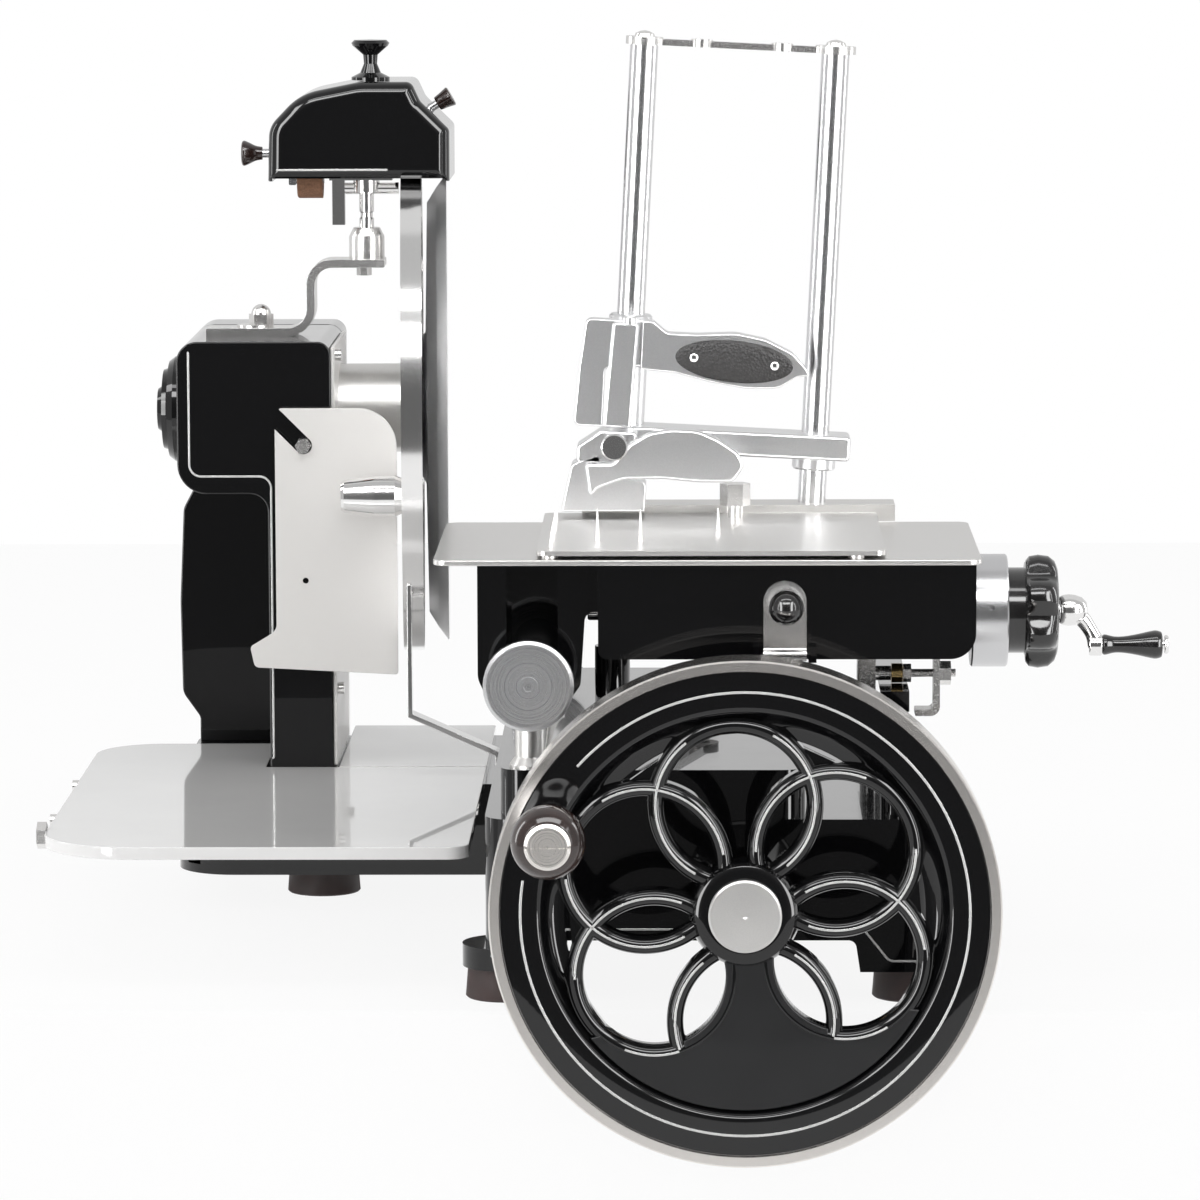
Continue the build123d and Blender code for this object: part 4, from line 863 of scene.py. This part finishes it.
class SLICER_OT_feed_crank(SlicerPiece, bpy.types.Operator):
    """Makes the feed screw with its bent crank and turned grip"""

    bl_idname = "slicer.feed_crank"
    bl_label = "Feed crank"

    def build(self, scene):
        screw = turned([(0, -76), (5.2, -76), (6, -75), (6, 221), (8.2, 221.2), (9.4, 223), (10, 227),
                        (9.6, 231), (8, 235.5), (5, 238.3), (0, 239)], 48)
        arm = smooth_line([(229, 60, 234, 6.5), (236, 60, 229, 5.2), (242, 60, 220, 4.6),
                           (245, 60, 213.5, 6.0), (247, 60, 212, 6.2)], 6)
        line = []
        for k, point in enumerate(arm):
            ahead = Vector(arm[min(k + 1, len(arm) - 1)][:3]) - Vector(arm[max(k - 1, 0)][:3])
            line.append((Vector(point[:3]), Vector((0, 1, 0)), ahead.normalized().cross(Vector((0, 1, 0)))))
        verts = []
        for (point, across, out), row in zip(line, arm):
            verts += [tuple(point + across * u + out * v) for u, v in round_section(row[3], 20)]
        _, faces = swept(line, round_section(1, 20))
        pin = turned([(0, 20), (6.4, 20), (7, 21), (7, 27.4), (6.4, 28), (3, 28), (3, 67.4), (5.4, 67.4),
                      (6, 68), (6, 69.2), (5.2, 70), (0, 70)], 40)
        crank = joined((*screw, along_x(*FEED_AXIS)), (verts, faces), (*pin, along_x(220, 60, 213)))
        made = piece("feed_crank", crank, "feed_screw", slot_of["feed_screw"], sharp=45)
        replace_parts(made, "feed_screw")
        outer = smooth_line([(5.4, 0.2), (6.5, 2), (5.2, 8), (5.3, 14), (6.6, 22), (8.4, 30), (9, 34),
                             (8.2, 37.2), (7, 38)], 5)
        grip = turned([(3.05, 0.2)] + outer + [(3.05, 38)], 48)
        made = piece("turned_feed_grip", grip, "feed_grip", "black_bakelite",
                     along_x(248, 60, 213), sharp=50)
        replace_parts(made, "feed_grip")


class SLICER_OT_press(SlicerPiece, bpy.types.Operator):
    """Makes the meat press: beam, foot, handle casting, grips and the leaf lever"""

    bl_idname = "slicer.press"
    bl_label = "Meat press"

    def build(self, scene):
        place = press_place()
        cast = polished("press_aluminium", (0.80, 0.80, 0.805), 0.26, 0.34)
        beam = rounded_outline([(-14, 41), (146, 41), (146, 57), (-14, 57)], 3)
        foot = rounded_outline([(-38, 2.5), (15.5, 5), (15.5, 24), (1, 26), (-12, 24), (-15, 41),
                                (-33, 33)], [1, 1, 4, 8, 8, 3, 4])
        stem = rounded_outline([(-30, 34), (8, 34), (8, 56), (-15, 56), (-30, 45)], 3)
        cast_piece = partial(piece, body="press", slot=slot_of["press_beam"], place=place,
                             material=cast)
        body = cast_piece("press_beam_cast", upright(beam, (-24, 12)), edge=2.2)
        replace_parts(body, "press_beam")
        collars = joined(turned([(9.1, 40), (12, 40), (12, 96), (9.1, 96)], 64),
                         (*turned([(9.1, 33), (13, 33), (14, 34), (14, 42), (9.1, 42)], 64),
                          shift(123.3, 0, 0)))
        cast_piece("press_collars", collars)
        cast_piece("press_foot", upright(foot, (-50, -20)), edge=1.6)
        cast_piece("press_stem", upright(stem, (-50, -20)), edge=2)
        pin = turned([(0, 49), (5, 49), (5, 62.3), (8.5, 62.3), (8.5, 67), (7.6, 68), (0, 68)], 48)
        piece("press_pivot", pin, "press", slot_of["press_beam"],
              place @ shift(-5.9, 0, 47.3) @ turn(90, "X"), sharp=30)
        self.handle(place, cast)
        self.grips(place)
        leaf = rounded_outline([(-24, 35), (-6, 36), (4, 49), (16, 57), (30, 60), (47, 60), (61, 54.5),
                                (73, 47), (78, 39), (71, 28), (50, 27), (26, 28), (1, 26.5), (-15, 20),
                                (-20, 13)], [2, 4, 8, 14, 20, 20, 16, 8, 6, 6, 20, 20, 12, 6, 2])
        lever = piece("leaf_lever", upright(leaf, (-62, -51)), "clamp_lever", slot_of["clamp_lever"],
                      place, edge=3.6, segments=6, material=cast)
        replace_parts(lever, "clamp_lever")

    def handle(self, place, cast):
        cast_piece = partial(piece, body="press", slot=slot_of["press_handle"], place=place,
                             material=cast)
        grip = rounded_outline([(8, 96), (30, 95), (53, 90), (76, 87), (97, 88), (109, 96), (117, 97),
                                (114, 102), (105, 111), (87, 119), (68, 122), (43, 120), (24, 120),
                                (15, 127), (8, 127)],
                               [2, 20, 30, 20, 14, 2, 1, 3, 14, 14, 20, 12, 6, 3, 1])
        made = cast_piece("handle_casting", upright(grip, (-44, -26)), edge=4.5, segments=6)
        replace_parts(made, "press_handle")
        shield = rounded_outline([(-33, 58), (-14.5, 58), (-14.5, 96), (0, 96), (0, 127), (-28, 127),
                                  (-31, 96)], [4, 1, 3, 1, 1, 4, 20])
        cast_piece("press_shield", upright(shield, (-44, -30)), edge=3.5, segments=5)
        bridge = [(-12, 96), (12, 96), (12, 127), (-12, 127)]
        cast_piece("press_bridge", upright(bridge, (-32, -9)), edge=2)
        fork = rounded_outline([(-14, 58), (4, 58), (6, 126), (-11, 126)], [2, 2, 3, 3])
        cast_piece("press_fork", upright(fork, (-50, -42)), edge=2)
        collar = turned([(9.1, 96), (12.6, 96), (14, 97.4), (14, 126.6), (12.6, 128), (9.1, 128)], 64)
        cap = (*turned([(0, 125), (5, 125), (5, 129), (3.5, 130), (0, 130)], 32), shift(0, -46, 0))
        cast_piece("press_collar", joined(collar, cap))

    def grips(self, place):
        shapes, rivets = [], []
        for face, out in ((-44, -1), (-26, 1)):
            rows = [(1.0, 0), (0.995, 0.9), (0.95, 1.7), (0.85, 2.3), (0.6, 2.9), (0.3, 3.1), (0, 3.15)]
            verts = []
            steps = 72
            for share, rise in rows:
                for k in range(steps):
                    x, z = polar(share, 360 * k / steps)
                    verts.append((x * 38, face + out * rise, z * 13.5))
            shapes.append((verts, strips(len(rows), steps) + [list(range(steps))]))
            for x in (-26, 26):
                rivet = turned([(0, 0), (2.7, 0), (2.7, 3.2), (2.1, 3.6), (0, 3.8)], 24)
                lay = shift(x, face, 0) @ turn(90 if out < 0 else -90, "X")
                rivets.append((*rivet, lay))
        where = place @ shift(68, 0, 104) @ turn(3, "Y")
        made = piece("oval_grips", joined(*shapes), "press", slot_of["grip_inserts"], where,
                     material=pebbled("pebbled_grip", (0.02, 0.019, 0.019)))
        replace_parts(made, "grip_inserts")
        piece("grip_rivets", joined(*rivets), "press", "polished_chrome", where, sharp=30)


class SLICER_OT_sharpener_knobs(SlicerPiece, bpy.types.Operator):
    """Turns the sharpener's two push knobs with their steel rods"""

    bl_idname = "slicer.sharpener_knobs"
    bl_label = "Sharpener knobs"

    def build(self, scene):
        outer = smooth_line([(7, 0), (8.2, 0.6), (8.6, 2), (7.4, 5), (5.2, 9.5), (4.4, 14)], 5)
        knob = turned([(0, 0)] + outer + [(3.1, 14.2), (3.1, 3), (0, 3)], 48)
        made = piece("grind_push_knob", knob, "grinder", "brown_bakelite", along_x(*GRIND_KNOB), sharp=50)
        rods = joined((*turned([(0, 3.2), (3, 3.2), (3, 34), (0, 34)], 32), along_x(*GRIND_KNOB)),
                      (*turned([(0, 0), (3, 0), (3, 20), (0, 20)], 32), along_x(-280, 384, 489)))
        hanger = prism(rounded_outline([(-284, 485), (-279, 485), (-279, 509.5), (-284, 509.5)], 1), 380, 388)
        hanger = ([(x, y, z) for x, z, y in hanger[0]], hanger[1])
        piece("grind_rod", joined(rods, hanger), "grinder", "turned_steel")
        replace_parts(made, "grind_knob")
        hone = shift(-184.5, 384, 538.7) @ turn(60, "Y")
        outer = smooth_line([(4.6, 2), (5, 3), (5.6, 6.5), (6.6, 11), (6.8, 12.2), (6, 13)], 5)
        knob = turned([(3.05, 2)] + outer + [(0, 13.2), (0, 11), (3.05, 11)], 40)
        made = piece("hone_push_knob", knob, "hone", "brown_bakelite", hone, sharp=50)
        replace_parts(made, "hone_knob")
        piece("hone_rod", turned([(0, -10), (3, -10), (3, 11), (0, 11)], 32), "hone", "turned_steel", hone)


class SLICER_OT_pinstripes(SlicerPiece, bpy.types.Operator):
    """Draws the pinstripes of the base and the sharpener's cover"""

    bl_idname = "slicer.pinstripes"
    bl_label = "Pinstripes"

    def build(self, scene):
        line = line_section(1.3, 0.15)
        arch = rounded_outline([(-135, 30), (-112, 30), (-96, 47), (96, 47), (112, 27), (135, 27),
                                (135, 10), (-135, 10)], [0.1, 6, 6, 6, 6, 0.1, 0.1, 0.1])
        path = [(x, -28.05, z) for x, z in arch if z > 20]
        shapes = [swept(path_line(path, (0, -1, 0)), line)]
        low = [(x, 343.95, 497.2) for x in range(-290, -214, 5)]
        shapes.append(swept(path_line(low, (0, -1, 0)), line))
        piece("pinstripes", joined(*shapes), "root", "satin_nickel", material=finish_paint())


class SLICER_OT_stage(SlicerPiece, bpy.types.Operator):
    """Sets the pale counter, the surround, the lamps and the camera"""

    bl_idname = "slicer.stage"
    bl_label = "Stage"

    def build(self, scene):
        studio = scene.slicer_studio
        self.counter()
        self.surround(scene, studio)
        self.lamp("left_strip", (-2.1, -1.5, 0.75), (-0.1, 0.2, 0.2), (0.28, 2.0), studio.strip_power)
        self.lamp("right_strip", (2.2, -1.2, 0.75), (0, 0.2, 0.2), (0.28, 2.0), studio.strip_power)
        self.lamp("left_edge", (-2.3, 0.5, 0.75), (-0.1, 0.2, 0.2), (0.3, 2.0), studio.strip_power)
        self.lamp("right_edge", (2.3, 0.7, 0.75), (0, 0.2, 0.2), (0.3, 2.0), studio.strip_power)
        self.lamp("top_strip", (0, -0.9, 2.2), (0, 0.1, 0.2), (2.4, 0.3), studio.top_power)
        data = bpy.data.cameras.new("view")
        data.lens = studio.lens
        data.sensor_width = 36
        data.clip_end = 50
        camera = linked("view", data)
        pose = shift(*CAMERA_PLACE) @ turn(CAMERA_TURN, "Z") @ turn(90 - CAMERA_DIP, "X")
        camera.matrix_world = pose @ turn(CAMERA_ROLL, "Z")
        scene.camera = camera
        scene.view_settings.view_transform = "Standard"

    @staticmethod
    def lamp(name, place, aim, size, power):
        data = bpy.data.lights.new(name, "AREA")
        data.shape = "RECTANGLE"
        data.size, data.size_y = size
        data.energy = power
        lamp = linked(name, data)
        lamp.location = place
        lamp.rotation_euler = (Vector(aim) - Vector(place)).to_track_quat("-Z", "Y").to_euler()

    @staticmethod
    def counter():
        """A pale counter whose front edge leaves room for the hanging wheel."""
        outline = rounded_outline([(-1600, -50), (1600, -50), (1600, 2400), (-1600, 2400)], 4)
        mesh = raw_mesh("counter", prism(outline, -600, 0))
        finish_mesh(mesh, 3, 3, 35)
        outline = rounded_outline([(-4000, -3000), (4000, -3000), (4000, 4000), (-4000, 4000)], 200)
        lower = raw_mesh("ground", prism(outline, -640, -600))
        glow_share = 0.9   # how far the floor is white to the camera and in the gloss
        made = Finish("pale_counter")
        cloud = made.noise(made.place, 3)
        made.link(made.ramp(cloud, (0.86, 0.86, 0.86), (0.9, 0.9, 0.9)), "Base Color")
        made.set(Roughness=0.7)
        seen = made.node("ShaderNodeLightPath").outputs
        either = made.node("ShaderNodeMath", n0=seen["Is Camera Ray"], n1=seen["Is Glossy Ray"])
        either.operation = "MAXIMUM"
        share = made.node("ShaderNodeMath", n0=either.outputs["Value"], n1=glow_share)
        share.operation = "MULTIPLY"
        glow = made.node("ShaderNodeEmission", Color=(1, 1, 1, 1))
        blend = made.node("ShaderNodeMixShader", Fac=share.outputs["Value"],
                          n1=made.shader.outputs["BSDF"], n2=glow.outputs["Emission"])
        made.tree.links.new(blend.outputs["Shader"],
                            made.tree.nodes["Material Output"].inputs["Surface"])
        for mesh_made in (mesh, lower):
            mesh_made.materials.append(made.material)
            obj = linked(mesh_made.name, mesh_made)

    @staticmethod
    def surround(scene, studio):
        """White to the camera; in the gloss soft panels and a dim spot ahead, towards the camera."""
        world = bpy.data.worlds.new("surround")
        scene.world = world
        world.use_nodes = True
        tree = world.node_tree
        add = partial(add_node, tree)

        def sums(operation, one, two=0.0):
            made = add("ShaderNodeMath", n0=one, n1=two)
            made.operation = operation
            return made.outputs["Value"]

        def rise(value, start, end, low=0.0, high=1.0):
            made = add("ShaderNodeMapRange", Value=value, From_Min=start, From_Max=end, To_Min=low,
                       To_Max=high)
            made.interpolation_type = "SMOOTHSTEP"
            return made.outputs["Result"]

        place = add("ShaderNodeTexCoord").outputs["Generated"]
        parts = add("ShaderNodeSeparateXYZ", Vector=place)
        x, y, z = (parts.outputs[axis] for axis in "XYZ")   # of a direction: +y runs away from the camera
        aside = sums("ABSOLUTE", x)
        off = sums("SQRT", sums("ADD", sums("MULTIPLY", x, x), sums("MULTIPLY", z, z)))
        room = sums("MAXIMUM", rise(off, 0.2, 0.8, studio.dim_spot, 0.55),
                    rise(y, -0.15, 0.15, 0.0, 0.75))
        ahead = rise(y, 0.05, -0.1)
        tall = sums("MULTIPLY", sums("MULTIPLY", rise(aside, 0.46, 0.5), rise(aside, 0.68, 0.64)),
                    sums("MULTIPLY", rise(z, -0.3, -0.22), rise(z, 0.7, 0.62)))
        over = sums("MULTIPLY", sums("MULTIPLY", rise(z, 0.5, 0.54), rise(z, 0.7, 0.66)),
                    rise(aside, 0.4, 0.34))
        panels = sums("MULTIPLY", sums("MULTIPLY", sums("MAXIMUM", tall, over), ahead), studio.panels)
        seen = add("ShaderNodeLightPath")
        level = add("ShaderNodeMix", Factor=seen.outputs["Is Glossy Ray"], A=studio.surround,
                    B=sums("ADD", room, panels))
        shown = sums("MAXIMUM", seen.outputs["Is Camera Ray"], seen.outputs["Is Transmission Ray"])
        final = add("ShaderNodeMix", Factor=shown, A=level.outputs["Result"], B=1.0)
        back = tree.nodes["Background"]
        back.inputs["Color"].default_value = (1, 1, 1, 1)
        tree.links.new(final.outputs["Result"], back.inputs["Strength"])


class SLICER_PT_pieces(bpy.types.Panel):
    """Lists the slicer's pieces and settings in the 3D view's sidebar"""

    bl_label = "Meat slicer"
    bl_idname = "SLICER_PT_pieces"
    bl_space_type = "VIEW_3D"
    bl_region_type = "UI"
    bl_category = "Slicer"

    def draw(self, context):
        for name, group in SETTINGS.items():
            box = self.layout.box()
            for setting in group.__annotations__:
                box.prop(getattr(context.scene, name), setting)
        for operator in OPERATORS:
            self.layout.operator(operator.bl_idname)


OPERATORS = (
    SLICER_OT_finishes, SLICER_OT_castings, SLICER_OT_drive_column, SLICER_OT_flywheel,
    SLICER_OT_wheel_lines, SLICER_OT_crank_grip, SLICER_OT_thickness_knob, SLICER_OT_feed_crank,
    SLICER_OT_press, SLICER_OT_sharpener_knobs, SLICER_OT_pinstripes, SLICER_OT_stage,
)


def register():
    for name, group in SETTINGS.items():
        bpy.utils.register_class(group)
        setattr(bpy.types.Scene, name, bpy.props.PointerProperty(type=group))
    for made in (*OPERATORS, SLICER_PT_pieces):
        bpy.utils.register_class(made)


def unregister():
    for made in (SLICER_PT_pieces, *reversed(OPERATORS)):
        bpy.utils.unregister_class(made)
    for name, group in SETTINGS.items():
        delattr(bpy.types.Scene, name)
        bpy.utils.unregister_class(group)


def main():
    register()
    for operator in OPERATORS:
        group, name = operator.bl_idname.split(".")
        getattr(getattr(bpy.ops, group), name)()
    check_finishes()


if __name__ == "__main__":
    main()
